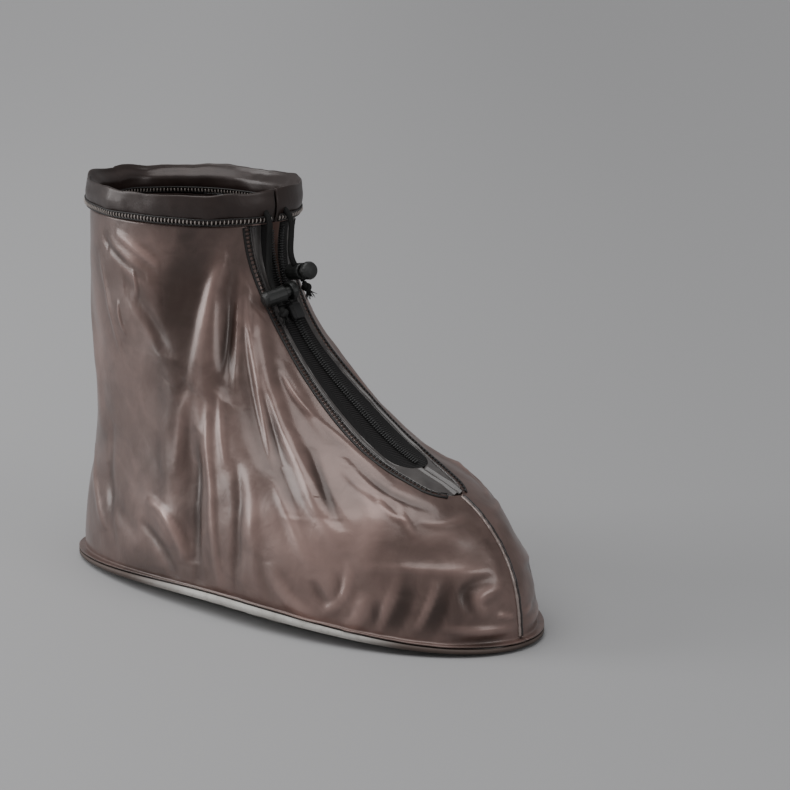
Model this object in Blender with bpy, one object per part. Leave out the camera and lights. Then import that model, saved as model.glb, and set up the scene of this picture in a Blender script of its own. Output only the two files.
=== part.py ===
"""Zip-up rain shoe cover for the left foot. Metres, +X to the toe, +Z up, -Y is the wearer's right.

The origin is on the floor under the middle of the sole. Two film panels, welded down the toe and the heel,
stand on a moulded outsole. A zip runs down the front centre line, and a folded collar carries a drawcord
whose two ends pass through spring cord locks.
"""
import math

import bmesh
import bpy
import numpy as np
from mathutils import Matrix, Vector

# Overall sizes
length = 0.300
ball_width = 0.132
height = 0.2135
cuff_length = 0.1210
cuff_width = 0.0920
cuff_middle = -0.0752

# Film, laps and clearances
film = 0.0012
flange = 0.0035
fit = 0.0003

# Outsole
plate = 0.0020
tread = 0.0016
rib = 0.0080
rib_gap = 0.0080
curl = 0.0088
curl_under = 0.74
margin = 0.0180

# Collar: the tunnel's inner and outer reach from the wall line, how far its highest gather stands above
# the rest, and where its slit and eyelets are, as lengths round the wall from the front centre, below 0 on
# the wearer's right
collar_depth = 0.0148
collar_out = 0.0020
collar_in = 0.0046
collar_crest = 0.0017
collar_slit = -0.0040
slit_width = 0.0012
eyelet_rise = 0.44
eyelet_slope = 50.0
right_eyelet = -0.0095
left_eyelet = 0.0030

# Zip: widest halves of what fills the panels' opening, lengths along the front line, and thicknesses
strip_width = 0.0053
tape_width = 0.0120
tape_thickness = 0.0010
coil_width = 0.0019
coil_height = 0.0013
vee_reach = 0.0100
tape_start = 0.0270
mouth_width = 0.0060
slider_length = 0.0090
slider_width = 0.0080
slider_height = 0.0030
slider_place = 0.775

# Cords and cord locks
cord = 0.0030
bore_fit = 0.0004
barrel_dia = 0.0086
barrel_length = 0.0130
barrel_wall = 0.0013
button_dia = 0.0094
button_head = 0.0045
button_travel = 0.0030
knot_dia = 0.0066
knot_length = 0.0080

# Wall sections from the sole up, along the front centre line. cuff is how far the section has turned from
# foot to cuff. toe, heel and wide are shares of the foot's half length and half width, front_rise and
# back_rise of the height, and widest is the share of the section ahead of its widest place. blunt is the
# share of the half width that the flat front takes, fall and swell are the exponents of the curve from there
# to the widest place, seat is the roundness exponent behind it, and taper narrows it towards the heel.
section_columns = ("v", "cuff", "toe", "front_rise", "heel", "back_rise", "wide", "widest", "blunt", "fall",
                   "swell", "seat", "taper")
sections = [
    (0.000, 0.00, 1.000, 0.000, 1.000, 0.000, 1.000, 0.420, 0.00, 2.06, 2.06, 2.60, 0.130),
    (0.052, 0.00, 0.992, 0.068, 0.998, 0.054, 1.000, 0.420, 0.00, 2.06, 2.06, 2.60, 0.130),
    (0.107, 0.00, 0.968, 0.139, 0.990, 0.107, 0.995, 0.420, 0.00, 2.04, 2.04, 2.58, 0.130),
    (0.176, 0.00, 0.903, 0.221, 0.975, 0.172, 0.970, 0.425, 0.00, 2.02, 2.02, 2.55, 0.130),
    (0.242, 0.00, 0.814, 0.283, 0.958, 0.234, 0.930, 0.430, 0.02, 1.98, 1.98, 2.50, 0.125),
    (0.310, 0.02, 0.715, 0.328, 0.945, 0.301, 0.885, 0.435, 0.08, 1.86, 1.82, 2.45, 0.110),
    (0.432, 0.12, 0.560, 0.386, 0.938, 0.422, 0.835, 0.450, 0.18, 1.66, 1.50, 2.40, 0.090),
    (0.549, 0.28, 0.440, 0.467, 0.936, 0.537, 0.810, 0.470, 0.22, 1.56, 1.34, 2.35, 0.060),
    (0.664, 0.48, 0.310, 0.562, 0.936, 0.649, 0.800, 0.490, 0.24, 1.52, 1.26, 2.30, 0.030),
    (0.768, 0.68, 0.120, 0.673, 0.936, 0.750, 0.790, 0.500, 0.22, 1.52, 1.26, 2.25, 0.010),
    (0.849, 0.84, -0.120, 0.788, 0.936, 0.830, 0.780, 0.500, 0.14, 1.66, 1.46, 2.20, 0.000),
    (0.923, 0.95, -0.300, 0.896, 0.936, 0.901, 0.780, 0.500, 0.04, 1.92, 1.84, 2.15, 0.000),
    (1.000, 1.00, 0.000, 1.000, 0.936, 0.986, 0.780, 0.500, 0.00, 2.08, 2.08, 2.12, 0.000),
]
blunt_reach = 0.05
zip_foot = 0.290
cuff_foot = 1.0 - collar_depth / height

# The zip's widths up the wall: how much of the widest opening each side has, and of the widest tape
zip_columns = ("v", "right", "left", "tape")
zip_widths = [
    (0.29, 0.73, 0.30, 1.00),
    (0.33, 0.84, 0.45, 1.00),
    (0.38, 0.93, 0.66, 1.00),
    (0.44, 0.96, 0.87, 1.00),
    (0.50, 0.94, 0.93, 1.00),
    (0.60, 0.84, 0.84, 0.90),
    (0.68, 0.72, 0.72, 0.74),
    (0.75, 0.64, 0.64, 0.63),
    (0.82, 0.70, 0.70, 0.60),
    (0.93, 1.00, 1.00, 0.60),
]

# Folds of the film: a curve through three places, each a share round the half section from the front and a
# share up the wall, then the fold's half width and its height as shares of the height. Below 0 is a valley.
fold_columns = ("q0", "v0", "q1", "v1", "q2", "v2", "half", "rise")
right_folds = [
    (0.107, 0.777, 0.208, 0.557, 0.255, 0.235, 0.028, 0.018),
    (0.170, 0.745, 0.273, 0.515, 0.318, 0.228, 0.030, -0.012),
    (0.165, 0.880, 0.258, 0.760, 0.398, 0.545, 0.026, 0.014),
    (0.128, 0.860, 0.220, 0.740, 0.335, 0.555, 0.024, -0.011),
    (0.420, 0.590, 0.535, 0.300, 0.562, 0.060, 0.026, -0.010),
    (0.480, 0.560, 0.590, 0.320, 0.605, 0.090, 0.028, 0.008),
    (0.672, 0.203, 0.623, 0.133, 0.575, 0.065, 0.024, 0.008),
    (0.603, 0.860, 0.500, 0.835, 0.400, 0.790, 0.030, 0.008),
    (0.547, 0.790, 0.473, 0.730, 0.450, 0.640, 0.034, -0.008),
    (0.110, 0.690, 0.128, 0.590, 0.135, 0.468, 0.022, 0.007),
    (0.145, 0.405, 0.150, 0.315, 0.110, 0.255, 0.022, -0.008),
    (0.175, 0.165, 0.100, 0.165, 0.030, 0.170, 0.026, -0.007),
    (0.255, 0.160, 0.250, 0.107, 0.242, 0.060, 0.022, -0.006),
    (0.818, 0.260, 0.775, 0.165, 0.690, 0.095, 0.026, -0.006),
    (0.860, 0.780, 0.840, 0.560, 0.850, 0.340, 0.034, 0.006),
]
left_folds = [
    (0.110, 0.800, 0.180, 0.600, 0.240, 0.280, 0.032, 0.010),
    (0.190, 0.850, 0.290, 0.640, 0.400, 0.450, 0.034, -0.010),
    (0.330, 0.850, 0.420, 0.700, 0.500, 0.420, 0.034, 0.010),
    (0.520, 0.700, 0.560, 0.450, 0.580, 0.150, 0.034, -0.010),
    (0.700, 0.820, 0.690, 0.600, 0.720, 0.300, 0.036, 0.008),
    (0.640, 0.240, 0.600, 0.150, 0.560, 0.080, 0.032, 0.007),
    (0.170, 0.180, 0.110, 0.170, 0.040, 0.175, 0.030, -0.006),
]


def spline(knots, values, at):
    """Natural cubic through hand-set rows: solve for the second derivatives, then evaluate piece by piece."""
    knots = np.asarray(knots, float)
    values = np.asarray(values, float)
    step = np.diff(knots)
    count = len(knots)
    matrix = np.eye(count)
    right = np.zeros(count)
    for i in range(1, count - 1):
        matrix[i, i - 1] = step[i - 1] / 6
        matrix[i, i] = (step[i - 1] + step[i]) / 3
        matrix[i, i + 1] = step[i] / 6
        right[i] = (values[i + 1] - values[i]) / step[i] - (values[i] - values[i - 1]) / step[i - 1]
    bend = np.linalg.solve(matrix, right)
    at = np.asarray(at, float)
    i = np.clip(np.searchsorted(knots, at) - 1, 0, count - 2)
    ahead = (knots[i + 1] - at) / step[i]
    behind = 1 - ahead
    cubic = (ahead**3 - ahead) * bend[i] + (behind**3 - behind) * bend[i + 1]
    return ahead * values[i] + behind * values[i + 1] + cubic * step[i]**2 / 6


section_table = np.array(sections)
section_knots = section_table[:, 0]
floor_rise = tread + plate + fit + film
toe_reach = length / 2 - flange
wide_reach = ball_width / 2 - flange
loop_samples = 160


def column(name, v):
    """One column of the section table, read smoothly at height share v."""
    return spline(section_knots, section_table[:, section_columns.index(name)], v)


def centre_points(v):
    """Front and back points of the section at v, in the centre plane."""
    turn = np.clip(column("cuff", v), 0, 1)
    front_x = (1 - turn) * column("toe", v) * toe_reach + turn * (cuff_middle + cuff_length / 2)
    back_x = -(1 - turn) * column("heel", v) * toe_reach + turn * (cuff_middle - cuff_length / 2)
    climb = height - floor_rise
    front_z = floor_rise + column("front_rise", v) * climb
    back_z = floor_rise + column("back_rise", v) * climb
    return front_x, front_z, back_x, back_z


def half_loop(v):
    """Half section at each v, from the front centre round to the back centre: a flat front with a round
    corner, a curve out to the widest place, and a superellipse quarter behind it. Returns points and
    running lengths."""
    v = np.atleast_1d(np.asarray(v, float))[:, None]
    front_x, front_z, back_x, back_z = centre_points(v)
    turn = np.clip(column("cuff", v), 0, 1)
    half = (1 - turn) * column("wide", v) * wide_reach + turn * cuff_width / 2
    widest = column("widest", v)
    angle = np.linspace(0, math.pi, loop_samples)[None, :]
    ahead = angle <= math.pi / 2
    lead = 1 - np.cos(np.minimum(angle, math.pi / 2))
    flat = np.sqrt(1 - (1 - np.clip(lead / blunt_reach, 0, 1))**2)
    blunt = np.clip(column("blunt", v), 0, 1)
    bow = (1 - (1 - lead)**column("fall", v))**(1 / column("swell", v))
    front_out = blunt * flat + (1 - blunt) * bow
    power = 2 / column("seat", v)
    behind = np.abs(np.cos(angle))**power
    back_out = np.abs(np.sin(angle))**power * (1 - column("taper", v) * behind)
    share = np.where(ahead, widest * lead, widest + (1 - widest) * behind)
    y = half * np.where(ahead, front_out, back_out)
    x = front_x + (back_x - front_x) * share
    z = front_z + (back_z - front_z) * share
    points = np.stack(np.broadcast_arrays(x, y, z), -1)
    steps = np.linalg.norm(np.diff(points, axis=1), axis=-1)
    run = np.concatenate([np.zeros((len(steps), 1)), np.cumsum(steps, axis=1)], axis=1)
    return points, run


def margin_lift(x):
    """How far the outsole's side edge curls up at x: most under the ball, nothing at toe and heel."""
    share = np.clip((x + length / 2) / length, 0, 1)
    return curl * np.sin(math.pi * share**1.15)**1.5


fold_girth = float(half_loop([0.4])[1][0, -1])
wall_lift = 1 - flange / margin


def smooth_wall(q, v):
    """The wall without folds on the +Y side. v has one share of the height for each row, and q, a row of
    shares round the half section for each v."""
    points, run = half_loop(v)
    goal = q * run[:, -1:]
    place = np.empty(q.shape + (3,))
    for row in range(len(run)):
        for axis in range(3):
            place[row, :, axis] = np.interp(goal[row], run[row], points[row, :, axis])
    fade = np.clip(1 - v / 0.30, 0, 1)[:, None]**2
    place[..., 2] += margin_lift(place[..., 0]) * wall_lift * fade
    return place


def fold_height(table, q, v):
    """Sum of the folds at (q, v): a bell across each fold's curve, fading at both of its ends."""
    total = np.zeros(q.shape)
    s = np.linspace(0, 1, 41)
    first, middle, last = (1 - s) * (1 - 2 * s), 4 * s * (1 - s), s * (2 * s - 1)
    fade = np.sin(math.pi * s)**0.6
    for q0, v0, q1, v1, q2, v2, half, rise in table:
        curve_q = first * q0 + middle * q1 + last * q2
        curve_v = first * v0 + middle * v1 + last * v2
        across = (q[..., None] - curve_q) * fold_girth / height
        upward = v[:, None, None] - curve_v
        away = across**2 + upward**2
        total += rise * height * fade[away.argmin(-1)] * np.exp(-away.min(-1) / half**2)
    return total


def wall(side, q, v, table):
    """The folded wall and its outward normals. side is -1 for the wearer's right and 1 for the left."""
    step = 0.004
    along = smooth_wall(np.clip(q + step, 0, 1), v) - smooth_wall(np.clip(q - step, 0, 1), v)
    upward = smooth_wall(q, np.clip(v + step, 0, 1)) - smooth_wall(q, np.clip(v - step, 0, 1))
    normal = np.cross(along, upward)
    normal /= np.linalg.norm(normal, axis=-1, keepdims=True)
    place = smooth_wall(q, v) + normal * fold_height(table, q, v)[..., None]
    mirror = np.array([1.0, side, 1.0])
    return place * mirror, normal * mirror


# Meshes


def line_table():
    """Running length up the front centre line, for turning lengths into shares and back."""
    v = np.linspace(0, 1, 400)
    x, z, _, _ = centre_points(v)
    steps = np.hypot(np.diff(x), np.diff(z))
    return v, np.concatenate([[0.0], np.cumsum(steps)])


line_v, line_run = line_table()
girth_v = np.linspace(0, 1, 101)
girth_run = half_loop(girth_v)[1][:, -1]


def run_at(v):
    return np.interp(v, line_v, line_run)


def share_at(run):
    return np.interp(run, line_run, line_v)


def girth_at(v):
    return np.interp(v, girth_v, girth_run)


def principled(name, colour, roughness, metallic=0.0):
    """One plain material for a piece."""
    material = bpy.data.materials.new(name)
    material.use_nodes = True
    shader = material.node_tree.nodes["Principled BSDF"]
    shader.inputs["Base Color"].default_value = (*colour, 1.0)
    shader.inputs["Roughness"].default_value = roughness
    shader.inputs["Metallic"].default_value = metallic
    return material


def add_object(name, mesh, material):
    """Link a mesh as a piece of its own, smooth but with its sharp edges kept."""
    mesh.materials.append(material)
    mesh.shade_smooth()
    mesh.set_sharp_from_angle(angle=math.radians(40))
    piece = bpy.data.objects.new(name, mesh)
    bpy.context.scene.collection.objects.link(piece)
    return piece


def closed_mesh(name, points, faces):
    """A mesh from points and faces, with all faces turned outwards."""
    mesh = bpy.data.meshes.new(name)
    mesh.from_pydata([tuple(point) for point in points], [], faces)
    work = bmesh.new()
    work.from_mesh(mesh)
    bmesh.ops.recalc_face_normals(work, faces=work.faces)
    work.to_mesh(mesh)
    work.free()
    return mesh


def thick_sheet(name, outer, inner, material):
    """A closed wall between two grids of the same size, with rims along all four edges."""
    rows, columns = outer.shape[:2]
    index = np.arange(rows * columns).reshape(rows, columns)
    skin = rows * columns
    faces = []
    for i in range(rows - 1):
        for j in range(columns - 1):
            quad = (index[i, j], index[i, j + 1], index[i + 1, j + 1], index[i + 1, j])
            faces.append(tuple(int(k) for k in quad))
            faces.append(tuple(int(k) + skin for k in reversed(quad)))
    rim = list(index[0]) + list(index[1:, -1]) + list(index[-1, -2::-1]) + list(index[-2:0:-1, 0])
    for start, end in zip(rim, rim[1:] + rim[:1]):
        faces.append((int(end), int(start), int(start) + skin, int(end) + skin))
    points = np.concatenate([outer.reshape(-1, 3), inner.reshape(-1, 3)])
    return add_object(name, closed_mesh(name, points, faces), material)


def swept_tube(name, rings, hole, material):
    """A solid through rings of points in order. With hole, a second set of rings, it is a hollow tube that
    is open at both ends, and otherwise its two ends are closed."""
    count, sides = rings.shape[:2]
    faces = []
    skins = [rings] if hole is None else [rings, hole]
    for layer in range(len(skins)):
        base = layer * count * sides
        for i in range(count - 1):
            for j in range(sides):
                k = (j + 1) % sides
                ring, ahead = base + i * sides, base + (i + 1) * sides
                faces.append((ring + j, ring + k, ahead + k, ahead + j))
    last = (count - 1) * sides
    if hole is None:
        faces.append(tuple(range(sides)))
        faces.append(tuple(last + j for j in range(sides)))
    else:
        second = count * sides
        for end in (0, last):
            for j in range(sides):
                k = (j + 1) % sides
                faces.append((end + j, end + k, second + end + k, second + end + j))
    points = np.concatenate([skin.reshape(-1, 3) for skin in skins])
    return add_object(name, closed_mesh(name, points, faces), material)


# Film panels

foot_run = run_at(zip_foot)
mouth_run = run_at(slider_place)
top_run = run_at(cuff_foot)
panel_edge = tape_width + fit + strip_width + fit


zip_table = np.array(zip_widths)


def zip_width(name, run):
    """One column of the zip's table at a length up the front line."""
    return spline(zip_table[:, 0], zip_table[:, zip_columns.index(name)], share_at(run))


def round_end(run, start, reach):
    """A round lower end: from 0 at its start to 1 after its reach."""
    share = np.clip((run - start) / reach, 0, 1)
    return np.sqrt(1 - (1 - share)**2)


def opening(side, run):
    """How far the panel on one side leaves the centre line free: a slot that starts at the zip's foot."""
    column_name = "right" if side < 0 else "left"
    return panel_edge * zip_width(column_name, run) * round_end(run, foot_run, vee_reach)


def mouth(run):
    """Half width of the gap between the two tapes: shut up to the slider, then opening towards the top."""
    share = np.clip((run - mouth_run) / (top_run - mouth_run), 0, 1)
    return fit / 2 + mouth_width / 2 * share**1.3


low_rows = np.linspace(0, zip_foot, 8)
vee_rows = share_at(foot_run + vee_reach * np.array([0.12, 0.35, 0.70, 1.0]))
panel_top = cuff_foot - 2 * fit / height
high_rows = np.linspace(vee_rows[-1], panel_top, 14)[1:]
panel_rows = np.concatenate([low_rows, vee_rows, high_rows])
panel_run = run_at(panel_rows)


def panel_gap(side):
    """The panel's front edge at each of its rows."""
    return np.maximum(opening(side, panel_run), fit / 2)


def clearance(edge, run):
    """Sideways gap beside an edge that leans, so that the gap square to the edge is the usual fit."""
    slopes = np.abs(np.diff(edge) / np.diff(run))
    steepest = np.maximum(np.concatenate([slopes, [0.0]]), np.concatenate([[0.0], slopes]))
    return fit * np.sqrt(1 + steepest**2)


def panel(name, side, columns, table, material):
    """One film wall: a flange turned out flat at the foot, then the folded wall up to the collar."""
    v = panel_rows
    girth = girth_at(v)
    start = (panel_gap(side) / girth)[:, None]
    end = (1 - fit / 2 / girth)[:, None]
    turn = np.linspace(0, 1, columns)[None, :]
    q = start * (1 - turn)**4 + end * turn
    place, normal = wall(side, q, v, table)
    base = place[0]
    level = normal[0] * np.array([1.0, 1.0, 0.0])
    level /= np.linalg.norm(level, axis=-1, keepdims=True)
    lip = base + level * flange
    lip[:, 2] = floor_rise + margin_lift(lip[:, 0])
    up = np.array([0.0, 0.0, 1.0])
    slope = (lip - base) / np.linalg.norm(lip - base, axis=-1, keepdims=True)
    across = np.cross(slope, np.cross(up, slope))
    across /= np.linalg.norm(across, axis=-1, keepdims=True)
    corner = (across + normal[0]) / (1 + np.sum(across * normal[0], axis=-1, keepdims=True))
    outer = np.concatenate([lip[None], place])
    inner = outer.copy()
    inner[0] -= across * film
    inner[1] -= corner * film
    inner[2:] -= normal[1:] * film
    seam = fit / 2
    for grid in (outer, inner):
        grid[..., 1] = side * np.maximum(grid[..., 1] * side, seam)
    return thick_sheet(name, outer, inner, material)


# Outsole


def sole_outline():
    """The sole's edge: the foot of the wall pushed out by the flange. Half widths over length."""
    q = np.linspace(0, 1, 241)[None, :]
    base, normal = wall(1, q, np.array([0.0]), [])
    level = normal[0] * np.array([1.0, 1.0, 0.0])
    level /= np.linalg.norm(level, axis=-1, keepdims=True)
    edge = base[0] + level * flange
    return edge[::-1, 0], np.maximum(edge[::-1, 1], 0.0)


def outsole(material):
    """A plate whose side margins curl up, with tread ribs across its underside."""
    edge_x, edge_y = sole_outline()
    pitch = rib + rib_gap
    draft = rib * 0.08
    reach = length / 2
    count = int((reach - rib) / pitch)
    stations = []
    for k in range(-count, count + 1):
        middle = k * pitch
        stations += [(middle - rib / 2 - draft, 1.0), (middle - rib / 2, 0.0)]
        stations += [(middle + rib / 2, 0.0), (middle + rib / 2 + draft, 1.0)]
    tip = stations[-1][0]
    stations = [(-tip - (reach - tip) * 0.75, 1.0)] + stations + [(tip + (reach - tip) * 0.75, 1.0)]
    stations = [(-reach + fit, 1.0)] + stations + [(reach - fit, 1.0)]
    rows_top = []
    rows_low = []
    for x, groove in stations:
        half = np.interp(x, edge_x, edge_y)
        lift = margin_lift(x)
        inset = min(margin, half * 0.7)
        side = np.array([half, half - inset * 0.2, half - inset])
        rise = np.array([lift, lift * 0.8, 0.0])
        y = np.concatenate([-side, side[::-1]])
        z = np.concatenate([rise, rise[::-1]])
        low = z * curl_under + tread * groove
        low[[0, -1]] += tread * (1 - groove)
        rows_top.append(np.stack([np.full(6, x), y, z + tread + plate], -1))
        rows_low.append(np.stack([np.full(6, x), y, low], -1))
    return thick_sheet("outsole", np.array(rows_top), np.array(rows_low), material)


# Collar and drawcord

collar_profile = [
    (0.02, 0.45), (0.26, 0.92), (0.58, 1.00), (0.90, 0.64), (1.00, 0.00), (0.93, -0.66), (0.62, -0.98),
    (0.26, -0.94), (0.02, -0.45),
]


# Gathers of the collar, pushed up by its cord: a share round the half section, its half width, and how far
# the tunnel swells out and its top rises, as shares of its depth
gather_columns = ("q", "half", "swell", "rise")
right_gathers = [
    (0.10, 0.050, -0.01, -0.04),
    (0.24, 0.045, 0.08, 0.02),
    (0.40, 0.060, -0.01, -0.03),
    (0.56, 0.050, 0.10, 0.05),
    (0.72, 0.045, -0.01, -0.02),
    (0.88, 0.055, 0.10, 0.10),
]
left_gathers = [
    (0.12, 0.050, -0.01, -0.04),
    (0.30, 0.055, 0.08, 0.03),
    (0.46, 0.045, -0.01, -0.03),
    (0.62, 0.050, 0.08, 0.03),
    (0.78, 0.045, -0.01, 0.00),
    (0.94, 0.050, 0.10, 0.12),
]


def gather(table, q, column_name):
    """One column of a gather table, summed as bells along q."""
    total = np.zeros(np.shape(q))
    for row in table:
        total += row[gather_columns.index(column_name)] * np.exp(-((q - row[0]) / row[1])**2)
    return total * collar_depth


def collar_rings(inset):
    """Rings of the collar's flat tube from its right end round the back to its left end: a puffed outline
    in shares of its depth and reach. inset moves the outline inwards by the film's thickness."""
    right = -collar_slit + slit_width / 2
    left = -collar_slit - slit_width / 2
    top_girth = girth_at(1.0)
    turns = np.linspace(0, 1, 16)
    rings = []
    outline = np.array(collar_profile)
    rise = outline[:, 0] * collar_depth
    reach = np.where(outline[:, 1] > 0, collar_out, collar_in) * outline[:, 1]
    middle = collar_depth / 2
    shrink = 1 - 2 * inset / collar_depth
    rise = middle + (rise - middle) * shrink
    thick = collar_out + collar_in
    centre = (collar_out - collar_in) / 2
    reach = centre + (reach - centre) * (1 - 2 * inset / thick)
    share = cuff_foot + rise / height
    for side, slit, table in ((-1, right, right_gathers), (1, -left, left_gathers)):
        q = slit / top_girth + (1 - slit / top_girth) * turns
        place, normal = wall(side, np.tile(np.abs(q), (len(share), 1)), share, [])
        past = np.where(q < 0, -1.0, 1.0)[:, None] * np.array([0.0, 1.0, 0.0]) + np.array([1.0, 0.0, 1.0])
        swell = reach[:, None] + gather(table, q, "swell") * np.clip(outline[:, 1], 0, 1)[:, None]
        ring = (place + normal * swell[..., None]) * past
        ring[..., 2] += (gather(table, q, "rise") - collar_crest) * outline[:, :1]
        ring = ring.transpose(1, 0, 2)
        rings.append(ring if side < 0 else ring[-2::-1])
    return np.concatenate(rings)


def drawcord_points(count):
    """The cord's middle line inside the tunnel, from beside the right eyelet round to the left one."""
    share = np.full(count, cuff_foot + eyelet_rise * collar_depth / height)
    reach = (collar_out - collar_in) / 2
    beside = cord / 2 + fit
    sides = []
    for side, arc in ((-1, -right_eyelet + beside), (1, left_eyelet + beside)):
        q = arc / girth_at(1.0) + (1 - arc / girth_at(1.0)) * np.linspace(0, 1, count)
        place, normal = wall(side, np.tile(q, (1, 1)), share[:1], [])
        line = place[0] + normal[0] * reach
        sides.append(line if side < 0 else line[-2::-1])
    return np.concatenate(sides)


def spot(arc, v, out):
    """A place off the wall: arc round from the front centre, v up the wall and out from it, with its own
    directions across to the left, up the wall and outwards."""
    side = -1 if arc < 0 else 1
    q = np.array([[abs(arc) / girth_at(v)]])
    place, normal = wall(side, q, np.array([v]), [])
    above, _ = wall(side, q, np.array([v + 0.004]), [])
    out_way = Vector(normal[0, 0])
    up_way = Vector(above[0, 0] - place[0, 0])
    up_way = (up_way - out_way * up_way.dot(out_way)).normalized()
    across_way = up_way.cross(out_way)
    return Vector(place[0, 0]) + out_way * out, across_way, up_way, out_way


def round_cord(name, points, material):
    """A cord as a curve with a round bevel and closed ends."""
    curve = bpy.data.curves.new(name, "CURVE")
    curve.dimensions = "3D"
    curve.bevel_depth = cord / 2
    curve.bevel_resolution = 2
    curve.use_fill_caps = True
    line = curve.splines.new("POLY")
    line.points.add(len(points) - 1)
    for target, point in zip(line.points, points):
        target.co = (*point, 1.0)
    curve.materials.append(material)
    piece = bpy.data.objects.new(name, curve)
    bpy.context.scene.collection.objects.link(piece)
    return piece


def smooth_line(route, spacing):
    """Evenly spaced points on a smooth curve through the route."""
    route = np.array([tuple(point) for point in route])
    run = np.concatenate([[0.0], np.cumsum(np.linalg.norm(np.diff(route, axis=0), axis=1))])
    fine = np.linspace(0, run[-1], 200)
    curve = np.stack([spline(run, route[:, axis], fine) for axis in range(3)], -1)
    length_along = np.concatenate([[0.0], np.cumsum(np.linalg.norm(np.diff(curve, axis=0), axis=1))])
    even = np.linspace(0, length_along[-1], int(length_along[-1] / spacing) + 1)
    return np.stack([np.interp(even, length_along, curve[:, axis]) for axis in range(3)], -1)


def cutter(name, mesh, matrix):
    """A guide that only cuts: hidden from renders."""
    tool = bpy.data.objects.new(name, mesh)
    bpy.context.scene.collection.objects.link(tool)
    tool.matrix_world = matrix
    tool.hide_render = True
    tool.display_type = "WIRE"
    return tool


def cut(piece, tool):
    modifier = piece.modifiers.new("cut", "BOOLEAN")
    modifier.operation = "DIFFERENCE"
    modifier.solver = "EXACT"
    modifier.object = tool


def turned_mesh(name, profile, segments):
    """A closed solid turned about Z from rows of radius and height, whose first and last radius is 0."""
    points = [(0.0, 0.0, profile[0][1])]
    faces = []
    inner = profile[1:-1]
    for radius, z in inner:
        for k in range(segments):
            angle = 2 * math.pi * k / segments
            points.append((radius * math.cos(angle), radius * math.sin(angle), z))
    points.append((0.0, 0.0, profile[-1][1]))
    last = len(points) - 1
    for k in range(segments):
        turn = (k + 1) % segments
        faces.append((0, 1 + turn, 1 + k))
        for ring in range(len(inner) - 1):
            low, high = 1 + ring * segments, 1 + (ring + 1) * segments
            faces.append((low + k, low + turn, high + turn, high + k))
        end = 1 + (len(inner) - 1) * segments
        faces.append((end + k, end + turn, last))
    return closed_mesh(name, points, faces)


def box_mesh(name, low, high):
    """A closed box between two corners."""
    work = bmesh.new()
    bmesh.ops.create_cube(work, size=1.0)
    for vert in work.verts:
        for axis in range(3):
            vert.co[axis] = low[axis] if vert.co[axis] < 0 else high[axis]
    mesh = bpy.data.meshes.new(name)
    work.to_mesh(mesh)
    work.free()
    return mesh


def collar(material):
    """The folded hem as a flat tube, open at both front ends, with one eyelet near each end."""
    piece = swept_tube("collar", collar_rings(0.0), collar_rings(film), material)
    for name, arc in (("right_eyelet_cut", right_eyelet), ("left_eyelet_cut", left_eyelet)):
        start, way = eyelet(arc)
        radius = cord / 2 + bore_fit
        reach = collar_out * 3
        profile = [(0.0, 0.0), (radius, 0.0), (radius, reach), (0.0, reach)]
        turn = way.to_track_quat("Z", "Y").to_matrix().to_4x4()
        cut(piece, cutter(name, turned_mesh(name, profile, 12), Matrix.Translation(start) @ turn))
    return piece


def eyelet(arc):
    """Where a cord end leaves the tunnel's middle line, and the way it points: down and out."""
    v = cuff_foot + eyelet_rise * collar_depth / height
    start, _, up_way, out_way = spot(arc, v, (collar_out - collar_in) / 2)
    slope = math.radians(eyelet_slope)
    return start, (out_way * math.sin(slope) - up_way * math.cos(slope)).normalized()


# Zip

tape_start_run = foot_run + tape_start
tape_rows = share_at(tape_start_run + tape_width * np.array([0.03, 0.15, 0.40, 0.70, 1.0]))
tape_rows = np.concatenate([tape_rows, high_rows[high_rows > tape_rows[-1] + 0.006]])
tape_run = run_at(tape_rows)
tape_half = tape_width * zip_width("tape", tape_run) * round_end(tape_run, tape_start_run, tape_width)
tape_gap = mouth(tape_run) + tape_half


def edge_grid(side, rows, low, high, columns, table):
    """Wall places and normals between two arcs at each row."""
    girth = girth_at(rows)[:, None]
    share = np.linspace(0, 1, columns)[None, :]
    q = (low[:, None] + (high - low)[:, None] * share) / girth
    return wall(side, q, rows, table)


def zip_tape(name, side, table, material):
    """One half of the tape, round at its lower end, from the coil's edge outwards."""
    place, normal = edge_grid(side, tape_rows, mouth(tape_run), tape_gap, 3, table)
    return thick_sheet(name, place, place - normal * tape_thickness, material)


def zip_strip(name, side, table, material):
    """The clear strip between one panel and its half of the tape, closing the slot below the tape."""
    first = share_at(foot_run + 0.05 * vee_reach)
    before_tape = share_at(tape_start_run - 0.05 * tape_width)
    rows = np.concatenate([[first], vee_rows, [before_tape], tape_rows])
    run = run_at(rows)
    edge = panel_gap(side)
    high = np.interp(run, panel_run, edge) - np.interp(run, panel_run, clearance(edge, panel_run))
    low = np.full(len(rows), fit / 2)
    low[-len(tape_rows):] = tape_gap + clearance(tape_gap, tape_run)
    place, normal = edge_grid(side, rows, low, high, 3, table)
    return thick_sheet(name, place, place - normal * film, material)


def zip_coil(name, side, table, material):
    """One row of coil teeth as a plain bead on the tape's inner edge."""
    rows = tape_rows[1:-1]
    run = run_at(rows)
    low = mouth(run)
    place, normal = edge_grid(side, rows, low, low + coil_width, 3, table)
    seat, top = fit, fit + coil_height
    profile = [(0, seat), (1, seat), (2, seat), (2, (seat + top) / 2), (1, top), (0, top)]
    rings = np.stack([place[:, j] + normal[:, j] * out for j, out in profile], 1)
    return swept_tube(name, rings, None, material)


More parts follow.
